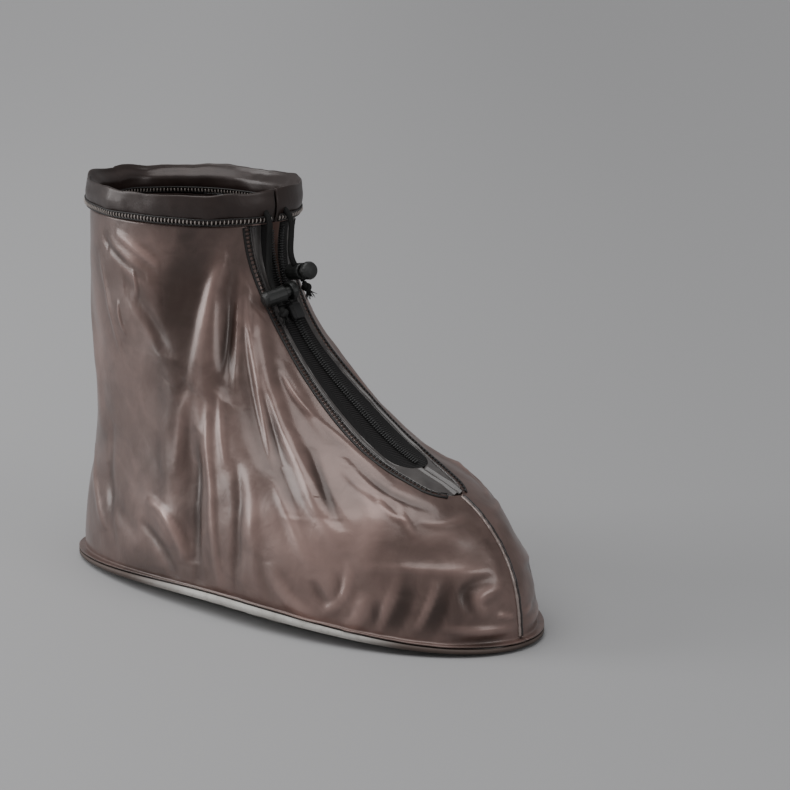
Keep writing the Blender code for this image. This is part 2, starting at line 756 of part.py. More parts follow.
def zip_slider(material):
    """A plain block that rides on both rows of teeth."""
    seat = fit + coil_height + fit
    half = slider_width / 2
    rings = []
    for along in (-0.5, -0.4, 0.4, 0.5):
        v = share_at(mouth_run + along * slider_length)
        middle, across, _, out = spot(0.0, float(v), 0.0)
        inset = 0.8 if abs(along) == 0.5 else 1.0
        low = seat + slider_height * (1 - inset) / 2
        high = seat + slider_height * (1 + inset) / 2
        corners = [(-half * inset, low), (half * inset, low), (half * inset, (low + high) / 2)]
        corners += [(half * inset * 0.7, high), (-half * inset * 0.7, high), (-half * inset, (low + high) / 2)]
        rings.append([tuple(middle + across * side + out * rise) for side, rise in corners])
    return swept_tube("zip_slider", np.array(rings), None, material)


# Cord locks and cord ends

bore_height = barrel_wall + 2 * fit + button_travel + cord + 0.0006
slot_low = bore_height - cord / 2 - fit
slot_high = bore_height + cord / 2 + fit + button_travel
stem_end = slot_low - cord * 0.4
head_seat = barrel_length + button_travel + fit

# Cord locks: name, the bore's arc, height share and distance off the wall, then the way the button points
# as shares across, up and out, and the turn about that way, in degrees
lock_columns = ("name", "arc", "v", "out", "across", "up", "outward", "twist")
locks = [
    ("upper", 0.0010, 0.838, 0.0122, -0.25, -0.10, 0.96, 22.0),
    ("lower", -0.0102, 0.803, 0.0062, 0.985, 0.10, 0.10, 0.0),
]

# Places that each cord end passes between its eyelet and its lock: arc, height share and distance off
cord_places = {
    "upper": [(-0.0002, 0.893, 0.0105)],
    "lower": [(-0.0094, 0.905, 0.0072), (-0.0098, 0.868, 0.0072)],
}


def lock_frame(name, arc, v, out, across, up, outward, twist):
    """Where a lock's bore is, its axis towards the button, and the way its cord runs down through it."""
    middle, across_way, up_way, out_way = spot(arc, v, out)
    axis = (across_way * across + up_way * up + out_way * outward).normalized()
    down = -(up_way - axis * up_way.dot(axis)).normalized()
    down = Matrix.Rotation(math.radians(twist), 3, axis) @ down
    return middle, axis, down


def lock_matrix(middle, axis, down):
    """Local Z along the lock's axis from its closed end, local X down along its cord."""
    side = axis.cross(down)
    turn = Matrix((down, side, axis)).transposed().to_4x4()
    return Matrix.Translation(middle - axis * bore_height) @ turn


def cord_lock(name, matrix, barrel_material, button_material):
    """A hollow barrel with a cross bore, and a button whose slotted stem slides in it."""
    outer = barrel_dia / 2
    inner = outer - barrel_wall
    rim = barrel_wall * 0.3
    profile = [(0, 0), (outer * 0.55, 0.02 * barrel_length), (outer * 0.87, 0.07 * barrel_length)]
    profile += [(outer, 0.16 * barrel_length), (outer, barrel_length - rim), (outer - rim, barrel_length)]
    profile += [(inner, barrel_length), (inner, barrel_wall), (0, barrel_wall)]
    barrel = add_object(name + "_lock_barrel", turned_mesh(name + "_barrel", profile, 16), barrel_material)
    barrel.matrix_world = matrix
    bore = cord / 2 + bore_fit
    across = [(0, -barrel_dia), (bore, -barrel_dia), (bore, barrel_dia), (0, barrel_dia)]
    turn = Matrix.Translation((0, 0, bore_height)) @ Matrix.Rotation(math.radians(90), 4, "Y")
    cut(barrel, cutter(name + "_bore_cut", turned_mesh(name + "_bore_cut", across, 12), matrix @ turn))
    stem = inner - fit
    cap = button_dia / 2
    head_top = head_seat + button_head
    profile = [(0, stem_end), (stem, stem_end), (stem, head_seat), (cap * 0.94, head_seat)]
    profile += [(cap, head_seat + button_head * 0.12), (cap, head_seat + button_head * 0.55)]
    profile += [(cap * 0.86, head_seat + button_head * 0.82), (cap * 0.5, head_top - button_head * 0.03)]
    profile += [(0, head_top)]
    button = add_object(name + "_lock_button", turned_mesh(name + "_button", profile, 16), button_material)
    button.matrix_world = matrix
    low = (-barrel_dia, -bore, slot_low)
    high = (barrel_dia, bore, slot_high)
    cut(button, cutter(name + "_slot_cut", box_mesh(name + "_slot_cut", low, high), matrix))


def knot_mesh(name):
    """A lumpy knot with a flared, frayed tail, from its top down along Z."""
    outline = [(0.00, 0.36), (0.07, 0.80), (0.20, 1.00), (0.36, 0.98), (0.50, 0.74), (0.58, 0.46),
               (0.70, 0.52), (0.88, 0.72), (1.00, 0.66)]
    rings = []
    for place, width in outline:
        angle = np.arange(10) * 2 * math.pi / 10
        lump = 1 + 0.12 * np.sin(2 * angle + place * 7)
        radius = knot_dia / 2 * width * lump
        z = np.full(10, place * knot_length)
        rings.append(np.stack([radius * np.cos(angle), radius * np.sin(angle), z], -1))
    return np.array(rings)


def cord_end(name, frame, cord_material):
    """One free cord end: out of its eyelet, down to its lock, through the bore and into its knot."""
    middle, axis, down = frame
    start, way = eyelet(left_eyelet if name == "upper" else right_eyelet)
    clear = barrel_dia / 2 + bore_fit
    tail = middle + down * (clear + 0.25 * cord)
    route = [start, start + way * cord * 1.3, start + way * cord * 2.4]
    route += [spot(*place)[0] for place in cord_places[name]]
    route += [middle - down * (clear + cord * 0.6), middle - down * clear * 0.4, tail]
    points = smooth_line(route, cord * 0.8)
    round_cord(name + "_cord_end", points, cord_material)
    rings = knot_mesh(name)
    turn = down.to_track_quat("Z", "Y").to_matrix().to_4x4()
    matrix = Matrix.Translation(tail + down * fit) @ turn
    placed = np.array([[tuple(matrix @ Vector(point)) for point in ring] for ring in rings])
    swept_tube(name + "_cord_knot", placed, None, cord_material)
    return points


def build():
    for item in list(bpy.data.objects):
        bpy.data.objects.remove(item)
    film_brown = principled("brown_film", (0.10, 0.065, 0.055), 0.30)
    clear_strip = principled("clear_strip", (0.11, 0.10, 0.095), 0.25)
    sole_grey = principled("pale_sole", (0.55, 0.54, 0.51), 0.55)
    tape_black = principled("black_tape", (0.008, 0.008, 0.008), 0.75)
    coil_black = principled("black_coil", (0.010, 0.010, 0.010), 0.45)
    lock_black = principled("black_lock", (0.011, 0.012, 0.011), 0.55)
    cord_black = principled("black_cord", (0.006, 0.006, 0.006), 0.90)
    panel("right_panel", -1, 28, right_folds, film_brown)
    panel("left_panel", 1, 19, left_folds, film_brown)
    outsole(sole_grey)
    collar(film_brown)
    round_cord("drawcord", drawcord_points(18), cord_black)
    for word, side, table in (("right", -1, right_folds), ("left", 1, left_folds)):
        zip_strip(word + "_zip_strip", side, table, clear_strip)
        zip_tape(word + "_zip_tape", side, table, tape_black)
        zip_coil(word + "_zip_coil", side, table, coil_black)
    zip_slider(coil_black)
    for lock in locks:
        frame = lock_frame(*lock)
        cord_lock(lock[0], lock_matrix(*frame), lock_black, lock_black)
        cord_end(lock[0], frame, cord_black)


build()
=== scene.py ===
# %% [markdown]
# # A zip-up rain shoe cover
# A rain cover is pulled over a shoe: two panels of smoky see-through film are welded down the toe and the
# heel and stand on a moulded sole. A zip closes the front, and a cord in the collar is held by two cord
# locks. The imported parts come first, as a fixed frame: every piece made below sits on them.

# %% Load the frame
import math
import bmesh
import bpy
import numpy as np
from mathutils import Matrix, Vector


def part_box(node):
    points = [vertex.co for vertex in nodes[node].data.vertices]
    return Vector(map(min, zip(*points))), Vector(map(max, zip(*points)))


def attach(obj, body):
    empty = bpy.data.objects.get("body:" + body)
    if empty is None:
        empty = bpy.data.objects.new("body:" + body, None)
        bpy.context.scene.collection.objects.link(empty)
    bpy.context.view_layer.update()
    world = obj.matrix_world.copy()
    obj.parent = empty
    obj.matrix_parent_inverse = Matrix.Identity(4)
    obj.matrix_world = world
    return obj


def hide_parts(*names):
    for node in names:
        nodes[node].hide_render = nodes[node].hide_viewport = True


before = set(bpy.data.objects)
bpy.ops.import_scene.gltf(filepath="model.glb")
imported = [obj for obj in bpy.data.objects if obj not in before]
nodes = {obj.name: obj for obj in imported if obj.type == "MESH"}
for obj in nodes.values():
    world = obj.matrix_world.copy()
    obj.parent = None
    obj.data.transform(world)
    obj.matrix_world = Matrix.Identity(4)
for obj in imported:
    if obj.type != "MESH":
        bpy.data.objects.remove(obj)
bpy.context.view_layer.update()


def put(name, data):
    """A new object in the scene."""
    piece = bpy.data.objects.new(name, data)
    bpy.context.scene.collection.objects.link(piece)
    return piece


# %% [markdown]
# ## Camera
# The picture is taken from the toe's right with a long lens, a little above the cover. The camera is set by
# the way it looks, the point it looks at and its distance, all fitted to the picture. A long lens well away
# keeps upright lines nearly parallel, so the collar and the sole keep nearly their true proportions.

# %% Set the camera
look_at = Vector((0.0642, 0.0, 0.1151))
turn, tilt, roll, away = math.radians(41.0), math.radians(13.16), math.radians(0.135), 1.5
back = Vector((math.sin(turn) * math.cos(tilt), -math.cos(turn) * math.cos(tilt), math.sin(tilt)))
right = Vector((math.cos(turn), math.sin(turn), 0.0))
up = back.cross(right)
camera_right = right * math.cos(roll) + up * math.sin(roll)
camera_up = up * math.cos(roll) - right * math.sin(roll)
camera = put("camera", bpy.data.cameras.new("camera"))
turned = Matrix((camera_right, camera_up, back)).transposed().to_4x4()
camera.matrix_world = Matrix.Translation(look_at + back * away) @ turned
camera.data.sensor_width, camera.data.lens = 36.0, 136.4
bpy.context.scene.camera = camera
print("camera", round(away, 2), "m away,", round(math.degrees(tilt), 1), "degrees above the floor")

# %% [markdown]
# ## Finishes as Python expressions
# A finish is a small network of shader nodes. Wrapping a socket in a class with + - * / lets the network be
# written as arithmetic, so a line such as `0.3 + 0.1 * cloud` adds its own Math nodes.

# %% A socket that can be calculated with
class Value:
    """One shader output. Arithmetic on it adds Math nodes to the finish that it belongs to."""

    def __init__(self, finish, socket):
        self.finish = finish
        self.socket = socket

    def math(self, operation, first, second):
        return self.finish.node("ShaderNodeMath", {"operation": operation}, {0: first, 1: second})

    def __add__(self, other):
        return self.math("ADD", self, other)

    def __mul__(self, other):
        return self.math("MULTIPLY", self, other)

    def __sub__(self, other):
        return self.math("SUBTRACT", self, other)

    def __rsub__(self, other):
        return self.math("SUBTRACT", other, self)

    __radd__ = __add__
    __rmul__ = __mul__


class Finish:
    """A material and short ways to add nodes to it."""

    def __init__(self, name):
        self.material = bpy.data.materials.new(name)
        self.material.use_nodes = True
        self.tree = self.material.node_tree
        self.shader = self.tree.nodes["Principled BSDF"]

    def feed(self, socket, value):
        if isinstance(value, Value):
            self.tree.links.new(value.socket, socket)
        else:
            socket.default_value = value

    def node(self, kind, settings, values, out=0):
        """Adds a node, sets its settings first, then feeds its sockets, and gives one output."""
        node = self.tree.nodes.new(kind)
        for key, setting in settings.items():
            setattr(node, key, setting)
        for key, value in values.items():
            self.feed(node.inputs[key], value)
        return Value(self, node.outputs[out])

    def place(self, way="Object"):
        return self.node("ShaderNodeTexCoord", {}, {}, way)

    def parts(self, vector):
        node = self.tree.nodes.new("ShaderNodeSeparateXYZ")
        self.feed(node.inputs[0], vector)
        return [Value(self, socket) for socket in node.outputs]

    def noise(self, scale, detail=3.0, rough=0.5, warp=0.0, vector=None):
        """Cloudy noise from 0 to 1. scale is in waves per metre."""
        vector = self.place() if vector is None else vector
        values = {"Vector": vector, "Scale": scale, "Detail": detail, "Roughness": rough, "Distortion": warp}
        return self.node("ShaderNodeTexNoise", {}, values)

    def wave(self, angle):
        return self.node("ShaderNodeMath", {"operation": "SINE"}, {0: angle})

    def smooth(self, value, low, high):
        """0 below low, 1 above high, and a smooth step between."""
        values = {"Value": value, "From Min": low, "From Max": high}
        return self.node("ShaderNodeMapRange", {"interpolation_type": "SMOOTHSTEP"}, values)

    def mix(self, share, low, high):
        """A colour between two colours."""
        low, high = [(*c, 1.0) if isinstance(c, tuple) else c for c in (low, high)]
        node = self.tree.nodes.new("ShaderNodeMix")
        node.data_type = "RGBA"
        for key, value in ((0, share), (6, low), (7, high)):
            self.feed(node.inputs[key], value)
        return Value(self, node.outputs[2])

    def bump(self, height, distance, strength=1.0):
        values = {"Height": height, "Distance": distance, "Strength": strength}
        return self.node("ShaderNodeBump", {}, values)

    def surface(self, **values):
        for key, value in values.items():
            name = key.replace("_", " ").title().replace("Ior", "IOR")
            if isinstance(value, tuple) and len(value) == 3:
                value = (*value, 1.0)
            self.feed(self.shader.inputs[name], value)
        return self.material


print("finishes are ready")

# %% [markdown]
# ## Shapes as arrays
# Every piece below is a grid of points worked out at once with numpy, then joined by four-sided faces. A
# piece of film is two such grids, its outer and its inner skin, joined along their rims, so that it is a
# closed thin solid.

# %% From grids to closed pieces
def quads(rows, columns, start=0, around=False):
    """Faces of a grid of points. around joins the last column to the first."""
    index = start + np.arange(rows * columns).reshape(rows, columns)
    if around:
        index = np.concatenate([index, index[:, :1]], axis=1)
    return np.stack([index[:-1, :-1], index[:-1, 1:], index[1:, 1:], index[1:, :-1]], -1).reshape(-1, 4)


def solid_volume(points, faces):
    """Signed volume of a closed mesh: the sum over its faces of corner dot the cross of two edges."""
    a, b, c, d = (points[faces[:, k]] for k in range(4))
    return float((np.cross(b - a, c - a) * a).sum() + (np.cross(c - a, d - a) * a).sum()) / 6


def add_piece(name, solid, material, uv=None, haze_and_painted_light=None):
    """A smooth piece from points and four-sided faces, turned outwards, that rides on the cover. Points that
    meet in a pole are merged. haze_and_painted_light is a number for each point, kept as an attribute that
    the film's finish reads: a share of the pale colour that stands for haze and paints highlights,
    reflections and shade into the colour."""
    points, faces = solid
    if solid_volume(points, faces) < 0:
        faces = faces[:, ::-1]
    mesh = bpy.data.meshes.new(name)
    mesh.from_pydata(points.tolist(), [], faces.tolist())
    if uv is not None:
        loops = np.empty(len(mesh.loops), np.int32)
        mesh.loops.foreach_get("vertex_index", loops)
        mesh.uv_layers.new(name="UVMap").data.foreach_set("uv", uv[loops].ravel())
    if haze_and_painted_light is not None:
        mesh.attributes.new("haze_and_painted_light", "FLOAT", "POINT").data.foreach_set("value", haze_and_painted_light)
    work = bmesh.new()
    work.from_mesh(mesh)
    bmesh.ops.remove_doubles(work, verts=work.verts, dist=1e-7)
    work.to_mesh(mesh)
    work.free()
    mesh.shade_smooth()
    mesh.materials.append(material)
    piece = put(name, mesh)
    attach(piece, "cover")
    print(name, len(faces) * 2, "triangles")
    return piece


def skin_pair(outer, inner):
    """Points and faces of a closed sheet between two grids of the same size."""
    rows, columns = outer.shape[:2]
    count = rows * columns
    index = np.arange(count).reshape(rows, columns)
    rim = np.concatenate([index[0], index[1:, -1], index[-1, -2::-1], index[-2:0:-1, 0]])
    ahead = np.roll(rim, -1)
    edge = np.stack([ahead, rim, rim + count, ahead + count], -1)
    faces = np.concatenate([quads(rows, columns), quads(rows, columns, count)[:, ::-1], edge])
    return np.concatenate([outer.reshape(-1, 3), inner.reshape(-1, 3)]), faces


def film_sheet(name, outer, inner, material, uv, haze_and_painted_light=None):
    """A closed sheet between two grids. Both of its skins share one UV map and one haze_and_painted_light."""
    uv = np.concatenate([uv.reshape(-1, 2)] * 2)
    if haze_and_painted_light is not None:
        haze_and_painted_light = np.concatenate([haze_and_painted_light.ravel()] * 2).astype(np.float32)
    return add_piece(name, skin_pair(outer, inner), material, uv, haze_and_painted_light)


def rod_solid(rings):
    """Points and faces of a rod through rings of points, shut at both ends by small fans of a centre
    point."""
    count, sides = rings.shape[:2]
    ends = np.repeat(rings[[0, -1]].mean(1, keepdims=True), sides, axis=1)
    rings = np.concatenate([ends[:1], rings, ends[1:]])
    return rings.reshape(-1, 3), quads(count + 2, sides, around=True)


def gather_solids(solids):
    """Several (points, faces) as one."""
    shift = 0
    all_points, all_faces = [], []
    for points, faces in solids:
        all_points.append(points)
        all_faces.append(faces + shift)
        shift += len(points)
    return np.concatenate(all_points), np.concatenate(all_faces)


def unit(vector):
    return vector / np.maximum(np.linalg.norm(vector, axis=-1, keepdims=True), 1e-12)


def sweep(line, out, radius, sides=10, flat=1.0):
    """Rings round a line: at each point, cos times the side way and sin times the out way, times the radius.
    flat below 1 flattens the section along the out way."""
    way = unit(np.gradient(line, axis=0))
    across = unit(np.cross(way, out))
    out = np.cross(across, way)
    angle = np.linspace(0, 2 * math.pi, sides, endpoint=False)
    radius = np.broadcast_to(radius, len(line))[:, None, None]
    ring = across[:, None] * np.cos(angle)[:, None] + out[:, None] * np.sin(angle)[:, None] * flat
    return line[:, None] + ring * radius


print("shape helpers are ready")

# %% [markdown]
# ## Cord ends
# The collar's cord comes out of two eyelets and ends in knots below the cord locks. Each end is a thin
# braided cord that hangs through its lock, so it is swept along its route as a round tube. A braid is two
# sets of strands that wind opposite ways, and a bump of two crossed sine waves along the tube's own UV map
# gives it.

# %% The braided cord and its two routes
cord_width, knot_width = 0.003, 0.0066


def braid_finish():
    finish = Finish("braided_cord")
    round_share, along, _ = finish.parts(finish.place("UV"))
    strands_round, strands_per_metre = 8, 900
    left_hand = finish.wave((round_share * strands_round + along * strands_per_metre) * (2 * math.pi))
    right_hand = finish.wave((round_share * strands_round - along * strands_per_metre) * (2 * math.pi))
    strands = finish.smooth(left_hand * right_hand, -0.7, 0.7)
    fluff = finish.noise(2500, 2)
    colour = finish.mix(strands * 0.7 + fluff * 0.3, (0.004, 0.004, 0.004), (0.016, 0.016, 0.015))
    height = strands * 0.8 + fluff * 0.3
    return finish.surface(base_color=colour, roughness=0.72 + fluff * 0.2,
                          normal=finish.bump(height, 0.0003, 0.8), specular_ior_level=0.35)


def tenths(rows):
    """Rows written in tenths of a millimetre, as tuples in metres."""
    return [tuple(value / 10000 for value in row) for row in rows]


upper_route = tenths([
    (-164, 29, 2028), (-147, 30, 2011), (-129, 32, 1995), (-112, 33, 1978), (-98, 32, 1958),
    (-88, 28, 1936), (-81, 22, 1914), (-76, 15, 1891), (-71, 8, 1869), (-67, 1, 1846),
    (-62, -6, 1823), (-57, -11, 1800), (-50, -14, 1777), (-43, -12, 1754), (-37, -4, 1732),
    (-31, 7, 1711), (-24, 17, 1690), (-18, 26, 1669), (-11, 35, 1647),
])
lower_route = tenths([
    (-174, -91, 2028), (-158, -95, 2011), (-141, -100, 1994), (-124, -104, 1977), (-114, -108, 1955),
    (-109, -110, 1931), (-109, -111, 1907), (-110, -111, 1882), (-111, -112, 1858), (-111, -113, 1834),
    (-111, -114, 1809), (-110, -115, 1785), (-109, -117, 1760), (-108, -118, 1736), (-106, -119, 1712),
    (-103, -120, 1688), (-98, -120, 1664), (-90, -119, 1641), (-80, -118, 1619), (-68, -116, 1597),
    (-56, -114, 1576), (-45, -113, 1554), (-34, -111, 1533),
])
cord_finish = braid_finish()


# %% Sweep each cord end along its route
def tube_uv(line, sides):
    """Round share and length along, for each ring point and for the two shut ends."""
    run = np.concatenate([[0.0], np.cumsum(np.linalg.norm(np.diff(line, axis=0), axis=1))])
    run = np.concatenate([run[:1], run, run[-1:]])
    share = np.linspace(0, 1, sides, endpoint=False)
    return np.stack(np.broadcast_arrays(share[None, :], run[:, None]), -1).reshape(-1, 2)


def finer(line, times):
    """The line with more points, on a Catmull-Rom curve: each piece is a cubic whose ends lean as their
    neighbours do."""
    line = np.asarray(line, float)
    padded = np.concatenate([2 * line[:1] - line[1:2], line, 2 * line[-1:] - line[-2:-1]])
    before, start, end, after = padded[:-3, None], padded[1:-2, None], padded[2:-1, None], padded[3:, None]
    t = np.linspace(0, 1, times, endpoint=False)[None, :, None]
    cubic = 2 * start + (end - before) * t + (2 * before - 5 * start + 4 * end - after) * t**2
    cubic = (cubic + (3 * start - before - 3 * end + after) * t**3) / 2
    return np.concatenate([cubic.reshape(-1, line.shape[1]), line[-1:]])


def cord_tube(name, route):
    line = finer(route, 4)
    out = np.broadcast_to(np.array([0.9, 0.1, 0.4]), line.shape)
    tube = rod_solid(sweep(line, out, cord_width / 2, 16))
    piece = add_piece(name, tube, cord_finish, tube_uv(line, 16))
    return piece, float(np.linalg.norm(np.diff(line, axis=0), axis=1).sum())


upper_cord, upper_length = cord_tube("upper_cord", upper_route)
lower_cord, lower_length = cord_tube("lower_cord", lower_route)
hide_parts("upper_cord_end")
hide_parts("lower_cord_end")
print("cord ends", round(upper_length, 4), round(lower_length, 4), "m long")

# %% [markdown]
# ## Knots
# Each cord end stops in an overhand knot, with a frayed tip. A knot reads as crossed loops, so it is a short
# trefoil-like ring of the same cord, pulled tight, with a flared tuft of fibres below it.

# %% Tie the knots
rng = np.random.default_rng(7)


def knot_solids(top, down, width):
    """A tight overhand knot: a cord along a trefoil curve, (sin t + 2 sin 2t, cos t - 2 cos 2t, -sin 3t),
    scaled to the knot's width, then a tuft of thin fibres that fan out below it."""
    down = unit(np.array(down))
    side = unit(np.cross(down, [0.2, 1.0, 0.3]))
    other = np.cross(down, side)
    middle = np.array(top) + down * width * 0.50
    t = np.linspace(0, 2 * math.pi, 60)
    curve = np.stack([np.sin(t) + 2 * np.sin(2 * t), np.cos(t) - 2 * np.cos(2 * t), -np.sin(3 * t)], -1)
    basis = np.stack([side, down, other])
    line = middle + curve @ basis * np.array(width / 2 - cord_width * 0.40) / 3.0
    solids = [rod_solid(sweep(line, line - middle, cord_width * 0.42, 12))]
    fibres = 34
    for _ in range(fibres):
        lean = rng.normal(0, 0.30, 2)
        way = unit(down + side * lean[0] + other * lean[1])
        bend = rng.normal(0, 0.16, 3)
        share = np.linspace(0, 1, 6)[:, None]
        base = middle + down * width * 0.36 + (side * lean[0] + other * lean[1]) * cord_width * 0.55
        reach = width * rng.uniform(0.42, 0.72)
        fibre = base + (way + bend * share) * share * reach
        solids.append(rod_solid(sweep(fibre, side, cord_width * 0.075 * (1.1 - share[:, 0] * 0.5), 5)))
    return solids


def tie(name, node, down):
    low, high = (np.array(corner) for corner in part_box(node))
    top = (low + high) / 2 - unit(np.array(down)) * knot_width * 0.58
    piece = add_piece(name, gather_solids(knot_solids(top, down, knot_width)), cord_finish)
    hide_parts(node)
    return piece


upper_knot = tie("upper_knot", "upper_cord_knot", (0.265, 0.388, -0.883))
lower_knot = tie("lower_knot", "lower_cord_knot", (0.466, 0.067, -0.882))

# %% [markdown]
# ## Cord locks
# A cord lock is a moulded barrel with a cross bore, and a button that a spring holds out and that pinches the
# cord. The spring isn't modelled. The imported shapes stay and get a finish: black nylon with a fine moulded
# grain, a little uneven in its colour.

# %% Finish the cord locks
def moulded_finish(name, dark, light, rough):
    finish = Finish(name)
    grain = finish.noise(5200, 3)
    wear = finish.noise(420, 3, 0.6)
    colour = finish.mix(wear, dark, light)
    height = grain * 0.6 + wear * 0.8
    return finish.surface(base_color=colour, roughness=rough + grain * 0.14,
                          normal=finish.bump(height, 0.00012, 0.7), specular_ior_level=0.5)


lock_finish = moulded_finish("moulded_nylon", (0.0085, 0.0090, 0.0085), (0.018, 0.019, 0.018), 0.34)
for word in ("upper", "lower"):
    for part_name in ("barrel", "button"):
        lock_piece = nodes[word + "_lock_" + part_name]
        lock_piece.material_slots[0].material = lock_finish
[tuple(p) for p in finer(upper_route, 4)]
[tuple(p) for p in finer(lower_route, 4)]

# %% [markdown]
# ## The wall's shape
# From the sole to the collar, the cover is one smooth wall. Thirteen sections, from the foot's outline up to
# the ankle's oval, set it: each has a front point, a back point, a half width and how round it is, and a
# cubic spline runs through each column. A place on the wall is then a share q round the half section and a
# share v up the wall.

# %% Sizes and sections of the wall
length, ball_width, height = 0.300, 0.132, 0.2135
cuff_length, cuff_width, cuff_middle = 0.1210, 0.0920, -0.0752
flange, fit, thin, margin, curl = 0.0035, 0.0003, 0.0007, 0.0180, 0.0088
floor_rise = 0.0051
toe_reach, wide_reach = length / 2 - flange, ball_width / 2 - flange
section_columns = ("v", "cuff", "toe", "front_rise", "heel", "back_rise", "wide", "widest", "blunt", "fall",
                   "swell", "seat", "taper")
sections = [
    (0.0, 0.0, 1.0, 0.0, 1.0, 0.0, 1.0, .42, 0.0, 2.06, 2.06, 2.6, .13),
    (.052, 0.0, .992, .068, .998, .054, 1.0, .42, 0.0, 2.06, 2.06, 2.6, .13),
    (.107, 0.0, .968, .139, .99, .107, .995, .42, 0.0, 2.04, 2.04, 2.58, .13),
    (.176, 0.0, .903, .221, .975, .172, .97, .425, 0.0, 2.02, 2.02, 2.55, .13),
    (.242, 0.0, .814, .283, .958, .234, .93, .43, .02, 1.98, 1.98, 2.5, .125),
    (.31, .02, .715, .328, .945, .301, .885, .435, .08, 1.86, 1.82, 2.45, .11),
    (.432, .12, .56, .386, .938, .422, .835, .45, .18, 1.66, 1.5, 2.4, .09),
    (.549, .28, .44, .467, .936, .537, .81, .47, .22, 1.56, 1.34, 2.35, .06),
    (.664, .48, .31, .562, .936, .649, .8, .49, .24, 1.52, 1.26, 2.3, .03),
    (.768, .68, .12, .673, .936, .75, .79, .5, .22, 1.52, 1.26, 2.25, .01),
    (.849, .84, -.12, .788, .936, .83, .78, .5, .14, 1.66, 1.46, 2.2, 0.0),
    (.923, .95, -.3, .896, .936, .901, .78, .5, .04, 1.92, 1.84, 2.15, 0.0),
    (1.0, 1.0, 0.0, 1.0, .936, .986, .78, .5, 0.0, 2.08, 2.08, 2.12, 0.0),
]
blunt_reach = 0.05
print(len(sections), "sections")

# %% Main folds and zip sizes
strip_width, tape_width, vee_reach, tape_start = 0.0053, 0.0120, 0.0100, 0.0270
tape_thick, tooth_pitch, tooth_length, tooth_radius = 0.0009, 0.0014, 0.0023, 0.00052
mouth_width, zip_foot, slider_place = 0.0060, 0.290, 0.775
zip_columns = ("v", "right", "left", "tape")
zip_widths = [
    (.29, .73, .3, 1.0),
    (.33, .84, .45, 1.0),
    (.38, .93, .66, 1.0),
    (.44, .96, .87, 1.0),
    (.5, .94, .93, 1.0),
    (.6, .84, .84, .9),
    (.68, .72, .72, .74),
    (.75, .64, .64, .63),
    (.82, .7, .7, .6),
    (.93, 1.0, 1.0, .6),
]
collar_depth, collar_out, collar_in, collar_crest, collar_slit = 0.0148, 0.0020, 0.0046, 0.0017, -0.0040
cuff_foot = 1 - collar_depth / height


def thousandths(rows):
    """Rows written in thousandths: a fold's or crease's three places (q, v), its half width and its rise, the
    last two as shares of the height, and for a crease its haze and painted light, how much paler or darker
    its colour is painted."""
    return [tuple(value / 1000 for value in row) for row in rows]


right_folds = thousandths([
    (107, 777, 208, 557, 255, 235, 28, 18), (170, 745, 273, 515, 318, 228, 30, -12),
    (165, 880, 258, 760, 398, 545, 26, 14), (128, 860, 220, 740, 335, 555, 24, -11),
    (420, 590, 535, 300, 562, 60, 26, -10), (480, 560, 590, 320, 605, 90, 28, 8),
    (672, 203, 623, 133, 575, 65, 24, 8), (603, 860, 500, 835, 400, 790, 30, 8),
    (547, 790, 473, 730, 450, 640, 34, -8), (110, 690, 128, 590, 135, 468, 22, 7),
    (145, 405, 150, 315, 110, 255, 22, -8), (175, 165, 100, 165, 30, 170, 26, -7),
    (255, 160, 250, 107, 242, 60, 22, -6), (818, 260, 775, 165, 690, 95, 26, -6),
    (860, 780, 840, 560, 850, 340, 34, 6),
])
left_folds = thousandths([
    (110, 800, 180, 600, 240, 280, 32, 10), (190, 850, 290, 640, 400, 450, 34, -10),
    (330, 850, 420, 700, 500, 420, 34, 10), (520, 700, 560, 450, 580, 150, 34, -10),
    (700, 820, 690, 600, 720, 300, 36, 8), (640, 240, 600, 150, 560, 80, 32, 7),
    (170, 180, 110, 170, 40, 175, 30, -6),
])


def spline(knots, values, at):
    """A natural cubic through the rows: its second derivatives come from one linear solve."""
    knots = np.asarray(knots, float)
    values = np.asarray(values, float)
    step = np.diff(knots)
    rise = np.diff(values) / step
    matrix = np.eye(len(knots))
    inner = np.arange(1, len(knots) - 1)
    matrix[inner, inner - 1] = step[:-1] / 6
    matrix[inner, inner] = (step[:-1] + step[1:]) / 3
    matrix[inner, inner + 1] = step[1:] / 6
    bend = np.linalg.solve(matrix, np.concatenate([[0.0], np.diff(rise), [0.0]]))
    at = np.asarray(at, float)
    i = np.clip(np.searchsorted(knots, at) - 1, 0, len(step) - 1)
    ahead = (knots[i + 1] - at) / step[i]
    behind = 1 - ahead
    cubic = (ahead**3 - ahead) * bend[i] + (behind**3 - behind) * bend[i + 1]
    return ahead * values[i] + behind * values[i + 1] + cubic * step[i]**2 / 6


section_table = np.array(sections)


def column(name, v):
    return spline(section_table[:, 0], section_table[:, section_columns.index(name)], v)


def centre_points(v):
    """Front and back points of the section at v, in the centre plane."""
    turned = np.clip(column("cuff", v), 0, 1)
    front_x = (1 - turned) * column("toe", v) * toe_reach + turned * (cuff_middle + cuff_length / 2)
    back_x = -(1 - turned) * column("heel", v) * toe_reach + turned * (cuff_middle - cuff_length / 2)
    climb = height - floor_rise
    front_z, back_z = (floor_rise + column(name, v) * climb for name in ("front_rise", "back_rise"))
    return front_x, front_z, back_x, back_z


